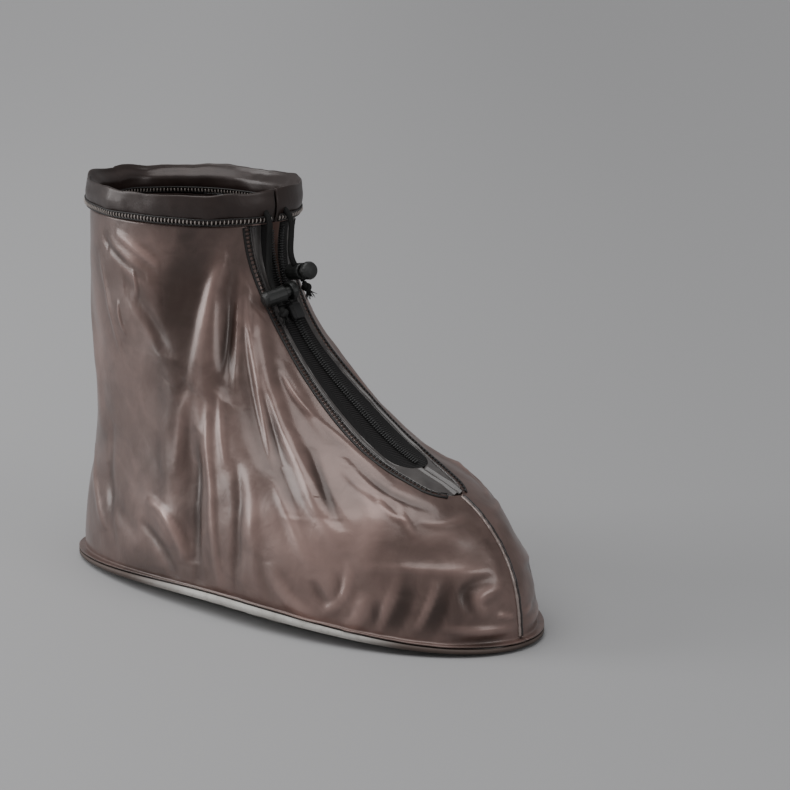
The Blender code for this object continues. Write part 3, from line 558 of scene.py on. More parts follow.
def half_loop(v):
    """Half section at each v from the front centre to the back centre, and its running length. Ahead of the
    widest place the half width is (1 - (1 - lead)^fall)^(1 / swell), with a share of it as a flat front.
    Behind it is a superellipse quarter."""
    v = np.atleast_1d(np.asarray(v, float))[:, None]
    front_x, front_z, back_x, back_z = centre_points(v)
    turned = np.clip(column("cuff", v), 0, 1)
    half = (1 - turned) * column("wide", v) * wide_reach + turned * cuff_width / 2
    widest = column("widest", v)
    angle = np.linspace(0, math.pi, 160)[None, :]
    ahead = angle <= math.pi / 2
    lead = 1 - np.cos(np.minimum(angle, math.pi / 2))
    flat = np.sqrt(1 - (1 - np.clip(lead / blunt_reach, 0, 1))**2)
    blunt = np.clip(column("blunt", v), 0, 1)
    bow = (1 - (1 - lead)**column("fall", v))**(1 / column("swell", v))
    power = 2 / column("seat", v)
    behind = np.abs(np.cos(angle))**power
    back_out = np.abs(np.sin(angle))**power * (1 - column("taper", v) * behind)
    share = np.where(ahead, widest * lead, widest + (1 - widest) * behind)
    y = half * np.where(ahead, blunt * flat + (1 - blunt) * bow, back_out)
    x = front_x + (back_x - front_x) * share
    z = front_z + (back_z - front_z) * share
    points = np.stack(np.broadcast_arrays(x, y, z), -1)
    steps = np.linalg.norm(np.diff(points, axis=1), axis=-1)
    return points, np.concatenate([np.zeros((len(steps), 1)), np.cumsum(steps, axis=1)], axis=1)


def margin_lift(x):
    """How far the outsole's side edge curls up at x."""
    share = np.clip((x + length / 2) / length, 0, 1)
    return curl * np.sin(math.pi * share**1.15)**1.5


fold_girth = float(half_loop([0.4])[1][0, -1])


def smooth_wall(q, v):
    """The wall without folds, on the left side, at shares q round the half section and v up the wall."""
    points, run = half_loop(v)
    goal = q * run[:, -1:]
    rows = [[np.interp(goal[k], run[k], points[k, :, axis]) for axis in range(3)] for k in range(len(run))]
    place = np.array(rows).transpose(0, 2, 1)
    fade = np.clip(1 - v / 0.30, 0, 1)[:, None]**2
    place[..., 2] += margin_lift(place[..., 0]) * (1 - flange / margin) * fade
    return place


def fold_sums(table, q, v):
    """Two sums over the folds, the height and the haze and painted light, a share of the pale colour: paler
    for painted highlights and reflections, darker for painted shade. Each fold is a bell, exp(-(distance /
    half)^2), across a curve through three places, that fades as sin(pi s)^0.6 along it. Its haze and painted
    light is exp(-(distance / half)^4), and fades as sin(pi s) nearly."""
    total = np.zeros(q.shape)
    haze_and_painted_light = np.zeros(q.shape)
    s = np.linspace(0, 1, 141)
    first, middle, last = (1 - s) * (1 - 2 * s), 4 * s * (1 - s), s * (2 * s - 1)
    fade = np.sin(math.pi * s)**0.6
    for q0, v0, q1, v1, q2, v2, half, rise, haze_and_light in table:
        curve_q = first * q0 + middle * q1 + last * q2
        curve_v = first * v0 + middle * v1 + last * v2
        near = ((q > curve_q.min() - 3 * half) & (q < curve_q.max() + 3 * half)
                & (v[:, None] > curve_v.min() - 3 * half) & (v[:, None] < curve_v.max() + 3 * half))
        across = (q[near][:, None] - curve_q) * fold_girth / height
        upward = np.broadcast_to(v[:, None], q.shape)[near][:, None] - curve_v
        away = across**2 + upward**2
        faded, nearest = fade[away.argmin(-1)], away.min(-1) / half**2
        total[near] += rise * height * faded * np.exp(-nearest)
        haze_and_painted_light[near] += haze_and_light * faded**1.6 * np.exp(-nearest**2)
    return total, haze_and_painted_light


def wall(side, q, v, table=()):
    """The folded wall and its outward way. side is -1 for the wearer's right and 1 for the left. Rows without
    haze and painted light get 0, which the heights don't read."""
    step = 0.004
    along = smooth_wall(np.clip(q + step, 0, 1), v) - smooth_wall(np.clip(q - step, 0, 1), v)
    upward = smooth_wall(q, np.clip(v + step, 0, 1)) - smooth_wall(q, np.clip(v - step, 0, 1))
    out = unit(np.cross(along, upward))
    rows = [(*row, 0.0)[:9] for row in table]
    place = smooth_wall(q, v) + out * fold_sums(rows, q, v)[0][..., None]
    mirror = np.array([1.0, side, 1.0])
    return place * mirror, out * mirror


line_v = np.linspace(0, 1, 400)
line_x, line_z, _, _ = centre_points(line_v)
line_run = np.concatenate([[0.0], np.cumsum(np.hypot(np.diff(line_x), np.diff(line_z)))])
girth_v = np.linspace(0, 1, 101)
girth_run = half_loop(girth_v)[1][:, -1]


def run_at(v):
    return np.interp(v, line_v, line_run)


def share_at(run):
    return np.interp(run, line_run, line_v)


def girth_at(v):
    return np.interp(v, girth_v, girth_run)


print("front line", round(float(line_run[-1]) * 1000, 1), "mm, girth at the ankle",
      round(float(girth_at(0.66)) * 2000, 1), "mm")

# %% [markdown]
# ## Fine creases and crumples
# Between the main folds, thin PVC film shows softer creases, mostly fanning out of the instep and at the foot
# of the zip, and a faint crumple all over. The creases are one more table in the fold formula, mostly
# narrower, with a ninth column of haze and painted light: how much paler or darker the film's colour is
# painted there. Creased film does turn hazy, but the column is also painted light: paler for broad painted
# reflections, darker for painted shade and for the dark shoe that shows through the film in the picture,
# which is not modelled. Its values are judged. The last rows have no height, only haze and painted light.
# The crumple is a sum of warped sine waves whose directions come from a seeded random generator. The hidden
# left side has its own few creases, and every second row of the right side's, mirrored.

# %% Creases and crumple
right_creases = thousandths([
    (118, 828, 228, 595, 323, 333, 12, 9.5, 240), (320, 362, 333, 225, 315, 110, 14, 6, 180),
    (212, 598, 245, 495, 283, 380, 15, -6.5, -240), (195, 497, 268, 312, 253, 173, 20, 7, 180),
    (182, 458, 233, 318, 238, 210, 13, -7.5, -320), (130, 435, 165, 280, 258, 90, 20, 6, 140),
    (120, 443, 120, 325, 68, 263, 14, -5.5, -240), (138, 315, 147, 263, 122, 238, 8, 5, 250),
    (115, 295, 130, 242, 128, 198, 8, 5, 200), (105, 242, 80, 230, 22, 240, 9, 4, 150),
    (233, 135, 128, 138, 15, 128, 9, 3, 100), (395, 115, 360, 35, 305, 7, 18, 6, 250),
    (318, 92, 310, 68, 297, 40, 11, -5, -200), (273, 122, 273, 83, 280, 45, 9, -5, -200),
    (250, 147, 268, 72, 305, 18, 9, 5.5, 220), (230, 85, 247, 28, 270, 0, 14, 6, 280),
    (217, 72, 217, 40, 225, 5, 10, -5, -220), (175, 128, 205, 48, 217, 3, 9, 5.5, 220),
    (155, 130, 180, 55, 203, 3, 14, -6, -280), (122, 118, 143, 62, 163, 15, 7, 6, 320),
    (103, 128, 125, 60, 150, 0, 12, -5, -220), (35, 118, 83, 98, 68, 50, 11, -6, -260),
    (22, 98, 65, 83, 52, 48, 10, 6, 260), (125, 30, 72, 25, 5, 22, 8, 5, 220),
    (113, 5, 70, 5, 18, 7, 9, -4.5, -220), (43, 50, 28, 48, 7, 40, 5, 4, 250),
    (670, 198, 605, 158, 578, 52, 12, 8, 340), (693, 140, 640, 88, 598, 7, 13, -5.5, -200),
    (455, 450, 537, 233, 547, 10, 12, -7, -260), (375, 552, 492, 268, 497, 7, 10, 6.5, 240),
    (388, 380, 450, 175, 465, 0, 12, -6, -200), (372, 352, 420, 160, 413, 18, 14, 4.5, 80),
    (165, 865, 278, 763, 422, 562, 16, 5, 240), (422, 562, 515, 432, 583, 275, 13, 4.5, 140),
    (175, 800, 238, 718, 307, 618, 11, -6.5, -300), (122, 855, 193, 743, 295, 583, 9, 4.5, 140),
    (323, 590, 383, 468, 430, 340, 10, 4.5, 160), (130, 657, 138, 595, 125, 542, 9, 5.5, 250),
    (125, 542, 100, 465, 95, 345, 10, 3.5, 120), (565, 895, 453, 868, 385, 843, 10, 6.5, 300),
    (640, 880, 520, 838, 432, 820, 11, -5.5, -220), (492, 825, 485, 797, 522, 763, 7, 4.5, 200),
    (590, 745, 605, 700, 598, 660, 7, 4.5, 200), (657, 843, 650, 733, 657, 580, 14, 3, 100),
    (777, 385, 795, 217, 758, 13, 13, -4.5, -100), (910, 290, 835, 150, 802, 77, 12, 4.5, 140),
    # Rows with no height only paint the colour: paler for painted reflections, darker for painted shade.
    (233, 955, 340, 775, 605, 450, 74, 0, -300), (448, 532, 570, 360, 662, 228, 55, 0, -120),
    (733, 890, 777, 623, 912, 263, 45, 0, 140), (348, 273, 290, 173, 150, 158, 110, 0, 260),
    (130, 482, 165, 357, 255, 145, 60, 0, 140), (168, 155, 90, 165, 37, 180, 50, 0, 100),
    (250, 70, 138, 72, 28, 65, 50, 0, -100), (782, 5, 660, 0, 557, 0, 60, 0, -120),
    (58, 910, 45, 802, 60, 652, 30, 0, -140), (77, 630, 62, 487, 62, 290, 18, 0, -140),
])
left_creases = thousandths([
    (90, 560, 130, 480, 170, 400, 9, 4, 150), (110, 370, 170, 300, 230, 220, 10, 4.5, 150),
    (160, 330, 110, 270, 60, 265, 8, 4, 150), (250, 320, 290, 220, 300, 100, 10, -4, -150),
    (340, 360, 390, 230, 400, 90, 10, 4.5, 150), (440, 320, 480, 190, 480, 70, 10, 4, 150),
    (540, 360, 590, 220, 600, 80, 10, -4, -150), (700, 260, 660, 170, 600, 80, 10, 4.5, 150),
    (160, 820, 210, 700, 260, 580, 10, 4.5, 150), (250, 860, 330, 760, 420, 660, 11, -4, -150),
    (400, 880, 450, 810, 550, 770, 10, 4, 150), (620, 880, 600, 800, 640, 700, 10, 3.5, 150),
    (170, 130, 100, 120, 40, 128, 8, 3.5, 150), (100, 60, 70, 48, 20, 54, 7, -3.5, -150),
])


def crumple(place, seed, scale, size):
    """A faint crumple: sines of place dot way / scale, each bent by another slow sine."""
    rng = np.random.default_rng(seed)
    total = np.zeros(place.shape[:-1])
    for _ in range(14):
        way = rng.normal(size=3)
        way /= np.linalg.norm(way)
        other = rng.normal(size=3)
        phase = rng.uniform(0, 2 * math.pi, 2)
        stretch = rng.uniform(0.6, 1.5)
        bent = np.sin(place @ other / scale * 0.45 + phase[1]) * 1.6
        total += np.sin(place @ way / (scale * stretch) + bent + phase[0]) / 14
    return total * size


print(len(right_creases) + len(left_creases), "creases")

# %% [markdown]
# ## The film
# The film looks like a smoky brown PVC: it lets a little light through and has a satin gloss. So the finish
# mixes a dark brown with a paler one by the haze and painted light, which paints highlights, broad
# reflections and shade into the colour, and by soft clouds, keeps a little transparency, and adds a thin coat
# over a rougher, partly metallic base. A bump of two noises gives the small wrinkles that catch the light.

# %% The film's finish
def film_finish(name, dark, pale, alpha, haze_and_painted_light, rough=0.30, coat=0.35):
    """haze_and_painted_light is a fixed share of the pale colour, or None where the piece's own attribute of
    that name gives it. On the panels that attribute is haze and painted highlights, reflections and shade.
    """
    finish = Finish(name)
    clouds = finish.noise(22, 3, 0.5, 0.6) - 0.5
    streaks = finish.noise(70, 3, 0.5, 1.2)
    if haze_and_painted_light is None:
        haze_and_painted_light = finish.node("ShaderNodeAttribute", {"attribute_name": "haze_and_painted_light"}, {}, "Fac")
    share = finish.smooth(clouds * 0.5 + (streaks - 0.5) * 0.25 + haze_and_painted_light, 0.0, 1.0)
    colour = finish.mix(share, dark, pale)
    ripple = finish.noise(130, 3, 0.5, 0.8)
    fine = finish.noise(620, 3, 0.5, 0.3)
    lumps = finish.bump(ripple * 0.8 + fine * 0.06, 0.0010, 0.22)
    return finish.surface(base_color=colour, roughness=rough + streaks * 0.12, normal=lumps, alpha=alpha,
                          metallic=0.30, specular_ior_level=0.6, coat_weight=coat, coat_roughness=0.18)


film = film_finish("smoky_film", (0.044, 0.024, 0.018), (0.352, 0.232, 0.203), 0.96, None)
print("film finish")

# %% [markdown]
# ## The two panels
# Each panel is one sheet: from a flange turned out flat at the foot, up the folded wall to the collar. Its
# front edge leaves a round-bottomed slot for the zip. The grid runs along the panel's edges, so nothing is
# cut away.

# %% Lay out the zip opening
foot_run, mouth_run, top_run = run_at(zip_foot), run_at(slider_place), run_at(cuff_foot)
panel_edge = tape_width + strip_width + 2 * fit
zip_table = np.array(zip_widths)


def zip_width(name, run):
    """One column of the zip's table at a length up the front line."""
    return spline(zip_table[:, 0], zip_table[:, zip_columns.index(name)], share_at(run))


def round_end(run, start, reach):
    """A round lower end, the quarter circle (1 - (1 - share)^2)^(1/2), from 0 at start to 1 after its
    reach."""
    share = np.clip((run - start) / reach, 0, 1)
    return np.sqrt(1 - (1 - share)**2)


def opening(side, run, inset=0.0):
    """How far the panel on one side leaves the centre line free."""
    name = "right" if side < 0 else "left"
    return panel_edge * zip_width(name, run) * round_end(run, foot_run + inset, vee_reach) - inset


def mouth(run):
    """Half width of the gap between the tapes: shut up to the slider, then opening."""
    share = np.clip((run - mouth_run) / (top_run - mouth_run), 0, 1)
    return fit / 2 + mouth_width / 2 * share**1.3


vee_ends = foot_run + vee_reach * np.sin(np.linspace(0, math.pi / 2, 16))**2
panel_rows = np.concatenate([np.linspace(0, zip_foot, 62)[:-1], share_at(vee_ends),
                             np.linspace(share_at(vee_ends[-1]), cuff_foot - 2 * fit / height, 116)[1:]])
# The fold factor turns each main fold's rise into painted light in the film's colour: paler ridges, a painted
# highlight, and darker dents, painted shade.
middle_pale_share, fold_painted_light, crumple_scale, crumple_rise, map_girth = 0.36, 8, 0.0055, 0.0009, 0.26
print(len(panel_rows), "rows up the panel")


# %% Make the panels
def panel(name, side, columns, folds, creases, node):
    v = panel_rows
    girth = girth_at(v)
    gap = np.maximum(opening(side, run_at(v)), fit / 2)
    turned = np.linspace(0, 1, columns)[None, :]
    q = (gap / girth)[:, None] * (1 - turned)**4 + (1 - fit / 2 / girth)[:, None] * turned
    # Each main fold also paints the colour by its rise: painted highlight on a ridge, painted shade in a
    # dent.
    rows = [(*row, row[-1] * fold_painted_light) for row in folds] + creases
    place, out = wall(side, q, v, rows)
    # The colour share at each point: a plain middle share plus the painted highlights, reflections and shade
    # of the folds and creases.
    haze_and_painted_light = middle_pale_share + fold_sums(rows, q, v)[1]
    edge = np.clip(turned * (1 - turned) * 30, 0, 1) * np.clip(v / 0.05, 0, 1)[:, None]
    edge = edge * np.clip((0.93 - v) / 0.03, 0, 1)[:, None]
    place = place + out * (crumple(place, 11 + side, crumple_scale, crumple_rise) * edge)[..., None]
    foot, level = place[0], unit(out[0] * np.array([1.0, 1.0, 0.0]))
    lip = foot + level * flange
    lip[:, 2] = floor_rise + margin_lift(lip[:, 0])
    steps = np.linspace(0, 1, 6)[:, None, None]
    ledge = lip + (foot - lip) * steps[:-1]
    outer = np.concatenate([ledge, place])
    ways = np.concatenate([np.broadcast_to([0.0, 0.0, 1.0], ledge.shape), out])
    ways[5] = unit(ways[5] + np.array([0.0, 0.0, 1.0]))
    inner = outer - ways * thin
    for grid in (outer, inner):
        grid[..., 1] = side * np.maximum(grid[..., 1] * side, fit / 2)
    rows = np.concatenate([np.full(5, v[0]), v])
    across = np.concatenate([q[:1].repeat(5, 0), q]) * map_girth
    uv = np.stack(np.broadcast_arrays(across, rows[:, None] * height), -1)
    haze_and_painted_light = np.concatenate([haze_and_painted_light[:1].repeat(5, 0), haze_and_painted_light])
    piece = film_sheet(name, outer, inner, film, uv, haze_and_painted_light)
    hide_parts(node)


panel("right_film", -1, 190, right_folds, right_creases, "right_panel")
panel("left_film", 1, 150, left_folds, left_creases + right_creases[1::2], "left_panel")

# %% [markdown]
# ## Welds down the toe and the heel
# The two panels are pressed together and welded, which leaves a low bead of doubled film along the centre
# line. Its pale colour is a painted highlight, the glint along the bead, and a dark bead beside it is painted
# shade, the shadow in the pressed gap between the panels. Both are a flat oval section carried along a line,
# so they are swept down the front and the back.

# %% Sweep the welds and the painted shade beside them
# The weld bead's pale colour is a painted highlight; the near-black bead beside it is painted shade in the
# gap.
weld_glint_film = film_finish("weld_painted_glint", (0.060, 0.038, 0.031), (0.360, 0.290, 0.265), 1.0, 0.62, 0.18)
gap_shade_film = film_finish("pressed_gap_painted_shade", (0.012, 0.007, 0.006), (0.050, 0.036, 0.031), 1.0, 0.30)


def weld(name, v, at_back, aside, radius, finish):
    """An oval bead along the front or back centre line, moved aside by a little."""
    front_x, front_z, back_x, back_z = centre_points(v)
    x, z = (back_x, back_z) if at_back else (front_x, front_z)
    lift = margin_lift(x) * (1 - flange / margin) * np.clip(1 - v / 0.30, 0, 1)**2
    line = np.stack([x, np.full_like(x, aside), z + lift], -1)
    way = unit(np.gradient(line, axis=0))
    out = np.cross(way, [0.0, 1.0, 0.0]) * (1 if at_back else -1)
    wobble = 1 + 0.10 * np.sin(v * 190) + 0.07 * np.sin(v * 433 + 1)
    tube = rod_solid(sweep(line + out * radius * 0.15, out, radius * wobble, 12, 0.75))
    bead = add_piece(name, tube, finish)


toe_v, heel_v = np.linspace(0.004, zip_foot - 0.004, 150), np.linspace(0.004, cuff_foot - 0.006, 240)
bead_aside, bead_radius = 0.0008, 0.0009
weld("toe_weld", toe_v, False, -bead_aside, bead_radius, weld_glint_film)
# A dark bead in the gap beside each weld: painted shade.
weld("toe_gap_shade", toe_v, False, bead_aside, bead_radius, gap_shade_film)
weld("heel_weld", heel_v, True, -bead_aside, bead_radius, weld_glint_film)
weld("heel_gap_shade", heel_v, True, 0.0004, 0.0005, gap_shade_film)

# %% [markdown]
# ## The outsole
# The sole is a moulded rubber plate. Its underside has ribs for grip, and its side margins curl up round the
# film, so a pale crescent shows along the ball of the foot. The grid runs along the foot and across it, and
# the ribs are smooth steps in the lower skin. Their run across is a guess, because the picture shows only a
# short run of bumps at the edge.

# %% Rubber and the sole's outline
plate, tread, rib, rib_gap, rib_slope, curl_under = 0.0020, 0.0016, 0.0080, 0.0080, 0.0014, 0.74


def rubber_finish():
    """Pale rubber, greyer where it is soiled. Its outermost edge is wrapped by the film except along the
    ball, so it turns brown there: a mask from the sole's own map, whose second number is 1 at the edge."""
    finish = Finish("pale_rubber")
    along, outwards, _ = finish.parts(finish.place("UV"))
    dirt = finish.smooth(finish.noise(35, 5, 0.6, 0.8), 0.42, 0.72)
    scuff = finish.smooth(finish.noise(380, 4, 0.65), 0.50, 0.74)
    rubber = finish.mix(dirt * 0.45 + scuff * 0.35, (0.50, 0.485, 0.455), (0.25, 0.23, 0.205))
    ball = finish.smooth(along, -0.075, -0.010) * (1 - finish.smooth(along, 0.080, 0.115))
    ends = finish.smooth(along * along, 0.1455**2, 0.1470**2)
    wrapped = 1 - (1 - finish.smooth(outwards, 0.885, 0.905) * (1 - ball)) * (1 - ends)
    colour = finish.mix(wrapped, rubber, (0.085, 0.062, 0.052))
    fine = finish.noise(2600, 3, 0.6)
    return finish.surface(base_color=colour, roughness=0.50 + dirt * 0.25, specular_ior_level=0.4,
                          normal=finish.bump(fine * 0.5 + scuff * 0.6, 0.0003, 0.5))


def sole_outline():
    """The foot of the wall pushed out by the flange: half widths over length."""
    base, out = wall(1, np.linspace(0, 1, 481)[None, :], np.array([0.0]))
    edge = base[0] + unit(out[0] * np.array([1.0, 1.0, 0.0])) * flange
    return edge[::-1, 0], np.maximum(edge[::-1, 1], 0.0)


# %% Make the outsole
def outsole():
    """Half width across times a share from -1 to 1. The margin rises in a straight line to the edge, and the
    underside drops to the floor at each rib through a smooth step."""
    edge_x, edge_y = sole_outline()
    reach = length / 2
    x = np.sin(np.linspace(-math.pi / 2, math.pi / 2, 60))
    x = np.unique(np.concatenate([x * (reach - fit), np.arange(-reach + 0.001, reach - 0.001, 0.0010)]))
    half = np.maximum(np.interp(x, edge_x, edge_y), 0.0004)[:, None]
    inset = np.minimum(margin, half * 0.7)
    share = np.sin(np.linspace(-math.pi / 2, math.pi / 2, 45))[None, :]
    y = half * share
    curled = np.clip((np.abs(y) - half + inset) / inset, 0, 1)
    rise = margin_lift(x)[:, None] * curled
    pitch = rib + rib_gap
    phase = np.abs((x / pitch + 0.5) % 1 - 0.5) * pitch
    groove = np.clip((phase - rib / 2) / rib_slope, 0, 1)[:, None]
    groove = np.maximum(groove, (np.abs(x) > reach - 0.010)[:, None])
    groove = np.maximum(groove * groove * (3 - 2 * groove), np.clip((curled - 0.35) / 0.25, 0, 1))
    along = np.broadcast_to(x[:, None], y.shape)
    top = np.stack([along, y, rise + tread + plate], -1)
    low = np.stack([along, y, rise * curl_under + tread * groove], -1)
    uv = np.stack([along, np.broadcast_to(np.abs(share), y.shape)], -1)
    piece = film_sheet("sole", top, low, rubber_finish(), uv)
    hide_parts("outsole")


outsole()

# %% [markdown]
# ## The collar
# The panels' upper edge is folded over and sewn into a tunnel for the cord, so the film is double and darker,
# and the cord's pull gathers it into soft puffs. The tunnel is a closed outline, flat near its rim, carried
# round the ankle. Bells along it swell it and lift or lower its top, and two crumples pucker it, one most at
# the seam.

# %% The collar's outline and gathers
collar_outline = [
    (.02, .45), (.26, .92), (.56, 1.0), (.82, .8), (.97, .66), (1.0, .38), (.95, .1),
    (.82, -.2), (.64, -.86), (.44, -.99), (.22, -.92), (.02, -.45),
]
gather_columns = ("q", "half", "swell", "rise")
right_gathers = [
    (.1, .05, -.01, -.08),
    (.24, .07, .08, -.13),
    (.4, .08, -.01, -.15),
    (.56, .07, .1, -.08),
    (.72, .045, -.01, -.02),
    (.88, .055, .1, .1),
]
left_gathers = [
    (.12, .05, -.01, -.04),
    (.3, .055, .08, .03),
    (.46, .045, -.01, -.03),
    (.62, .05, .08, .03),
    (.78, .045, -.01, 0.0),
    (.94, .05, .1, .12),
]
slit_width = 0.0012
cord_height = 0.44


def gather(table, q, name):
    total = np.zeros(np.shape(q))
    for row in table:
        total += row[gather_columns.index(name)] * np.exp(-((q - row[0]) / row[1])**2)
    return total * collar_depth


def collar_half(side, q, outline, inset=0.0):
    """Points of the tunnel for each q and each outline row (share of the depth, share of the reach), moved
    inwards by inset."""
    table = right_gathers if side < 0 else left_gathers
    outline = np.asarray(outline, float)
    deep = collar_depth / 2 + (outline[:, 0] - 0.5) * (collar_depth - 2 * inset)
    reach = np.where(outline[:, 1] > 0, collar_out, collar_in) * outline[:, 1]
    middle = (collar_out - collar_in) / 2
    reach = middle + (reach - middle) * (1 - 2 * inset / (collar_out + collar_in))
    place, out = wall(side, np.tile(np.abs(q), (len(deep), 1)), cuff_foot + deep / height)
    past = np.where(q < 0, -1.0, 1.0)[:, None] * np.array([0.0, 1.0, 0.0]) + np.array([1.0, 0.0, 1.0])
    swell = reach[:, None] + gather(table, q, "swell") * np.clip(outline[:, 1], 0, 1)[:, None]
    ring = (place + out * swell[..., None]) * past
    ring[..., 2] += (gather(table, q, "rise") - collar_crest) * outline[:, :1]
    return ring.transpose(1, 0, 2), out.transpose(1, 0, 2)


def collar_line(outline, count, inset=0.0, trim=0.0):
    """The tunnel from its right end round the back to its left end. trim shortens both ends."""
    girth = girth_at(1.0)
    rings, ways = [], []
    for side, start in ((-1, -collar_slit + slit_width / 2 + trim), (1, collar_slit + slit_width / 2 + trim)):
        q = start / girth + (1 - start / girth) * np.linspace(0, 1, count)
        ring, out = collar_half(side, q, outline, inset)
        rings.append(ring if side < 0 else ring[-2::-1])
        ways.append(out if side < 0 else out[-2::-1])
    return np.concatenate(rings), np.concatenate(ways)


# %% Make the collar
collar_film = film_finish("doubled_film", (0.018, 0.010, 0.008), (0.075, 0.048, 0.042), 1.0, 0.30, 0.36, 0.14)


def puckers(place, share):
    """Small puckers, deepest by the seam at the tunnel's foot, plus wider lumps all over."""
    deep = 0.35 + 0.65 * np.exp(-((share - 0.22) / 0.16)**2)
    return crumple(place, 31, 0.0024, 0.0014) * deep + crumple(place, 37, 0.0055, 0.0016)


def make_collar():
    """Two closed tubes, the outline and the same outline moved inwards, joined at both open ends."""
    looped = collar_outline[-1:] + collar_outline + collar_outline[:2]
    outline = finer(looped, 4)[4:-5]
    rings, _ = collar_line(outline, 150)
    bores, _ = collar_line(outline, 150, thin)
    middle = rings.mean(1, keepdims=True)
    outwards = unit(rings - middle)
    offset = puckers(rings, outline[:, 0][None, :])[..., None]
    lower = np.clip(outline[:, 0] / 0.1, 0, 1)[None, :, None]
    rings = rings + outwards * offset * lower
    bores = bores + outwards * offset * lower
    count, sides = rings.shape[:2]
    shift = count * sides
    ring = np.arange(sides)
    ahead = np.roll(ring, -1)
    ends = [np.stack([base + ring, base + ahead, base + ahead + shift, base + ring + shift], -1)
            for base in (0, shift - sides)]
    ends[0] = ends[0][:, ::-1]
    skins = [quads(count, sides, around=True), quads(count, sides, shift, around=True)[:, ::-1]]
    faces = np.concatenate(skins + ends)
    points = np.concatenate([rings.reshape(-1, 3), bores.reshape(-1, 3)])
    piece = add_piece("collar_tunnel", (points, faces), collar_film)
    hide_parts("collar")


make_collar()

# %% [markdown]
# ## The cord inside the tunnel
# Between the two eyelets the cord lies hidden in the tunnel. It is the same braided cord, swept along the
# tunnel's middle.

# %% Sweep the hidden cord
def hidden_cord():
    """From beside the right eyelet round the back to beside the left one."""
    girth = girth_at(1.0)
    share = np.array([cuff_foot + cord_height * collar_depth / height])
    right_eyelet, left_eyelet, beside = 0.0095, 0.0030, 0.0018
    sides = []
    for side, start in ((-1, right_eyelet + beside), (1, left_eyelet + beside)):
        q = start / girth + (1 - start / girth) * np.linspace(0, 1, 60)[None, :]
        place, out = wall(side, q, share)
        line = place[0] + out[0] * (collar_out - collar_in) / 2
        sides.append(line if side < 0 else line[-2::-1])
    line = np.concatenate(sides)
    tube = rod_solid(sweep(line, np.broadcast_to([0.0, 0.0, 1.0], line.shape), cord_width / 2, 12))
    piece = add_piece("tunnel_cord", tube, cord_finish, tube_uv(line, 12))
    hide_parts("drawcord")


hidden_cord()

# %% [markdown]
# ## The zip
# A clear strip of film is sewn to each panel's edge, and the black tape to the strip. Below the tape the
# strips meet in a V. The strips are thin glossy film. The tape is a narrow weave with a boldly ribbed edge,
# where the coil is sewn on.

# %% Strips and tape
def edge_grid(side, run, low, high, columns, table):
    """Places on the wall between two arcs from the front centre, at each length up the front line, with their
    outward ways and their arc and length as a UV map."""
    rows = share_at(run)
    arc = low[:, None] + (high - low)[:, None] * np.linspace(0, 1, columns)[None, :]
    place, out = wall(side, arc / girth_at(rows)[:, None], rows, table)
    return place, out, np.stack([arc, np.broadcast_to(run[:, None], arc.shape)], -1)


def strip_finish():
    finish = Finish("clear_strip_film")
    haze = finish.smooth(finish.noise(45, 3, 0.5, 0.6), 0.30, 0.75)
    colour = finish.mix(haze, (0.026, 0.022, 0.021), (0.080, 0.071, 0.067))
    lumps = finish.noise(260, 3, 0.5, 0.8)
    return finish.surface(base_color=colour, roughness=0.26 + haze * 0.12, coat_weight=0.5,
                          coat_roughness=0.10, normal=finish.bump(lumps, 0.0005, 0.4))


def woven_finish():
    """Warp times weft: two sine waves over the tape's own arc and length, and bold ribs next to the coil."""
    finish = Finish("woven_tape")
    arc, run, _ = finish.parts(finish.place("UV"))
    warp_pitch, weft_pitch, rib_pitch = 0.0008, 0.0009, 0.00125
    warp = finish.wave(arc * (2 * math.pi / warp_pitch))
    weft = finish.wave(run * (2 * math.pi / weft_pitch))
    rib_share = 1 - finish.smooth(arc, 0.0068, 0.0072)
    ribs = finish.smooth(finish.wave(run * (2 * math.pi / rib_pitch)), -0.3, 0.8)
    weave = (warp * weft * 0.2 + 0.2) * (1 - rib_share) + ribs * rib_share
    fluff = finish.noise(1800, 3)
    colour = finish.mix(weave * 0.8 + fluff * 0.2, (0.0016, 0.0016, 0.0016), (0.030, 0.028, 0.028))
    return finish.surface(base_color=colour, roughness=0.60, specular_ior_level=0.22,
                          normal=finish.bump(weave + fluff * 0.3, 0.0004, 0.9))


strip_film, woven = strip_finish(), woven_finish()
tape_start_run = foot_run + tape_start
tape_end_run = top_run - 3 * fit


# %% Make the strips and the tape halves
def tape_gap(run, inset=0.0):
    """The tape half's outer edge, with room round it."""
    wide = tape_width * zip_width("tape", run) * round_end(run, tape_start_run - inset, tape_width)
    return mouth(run) + inset + wide


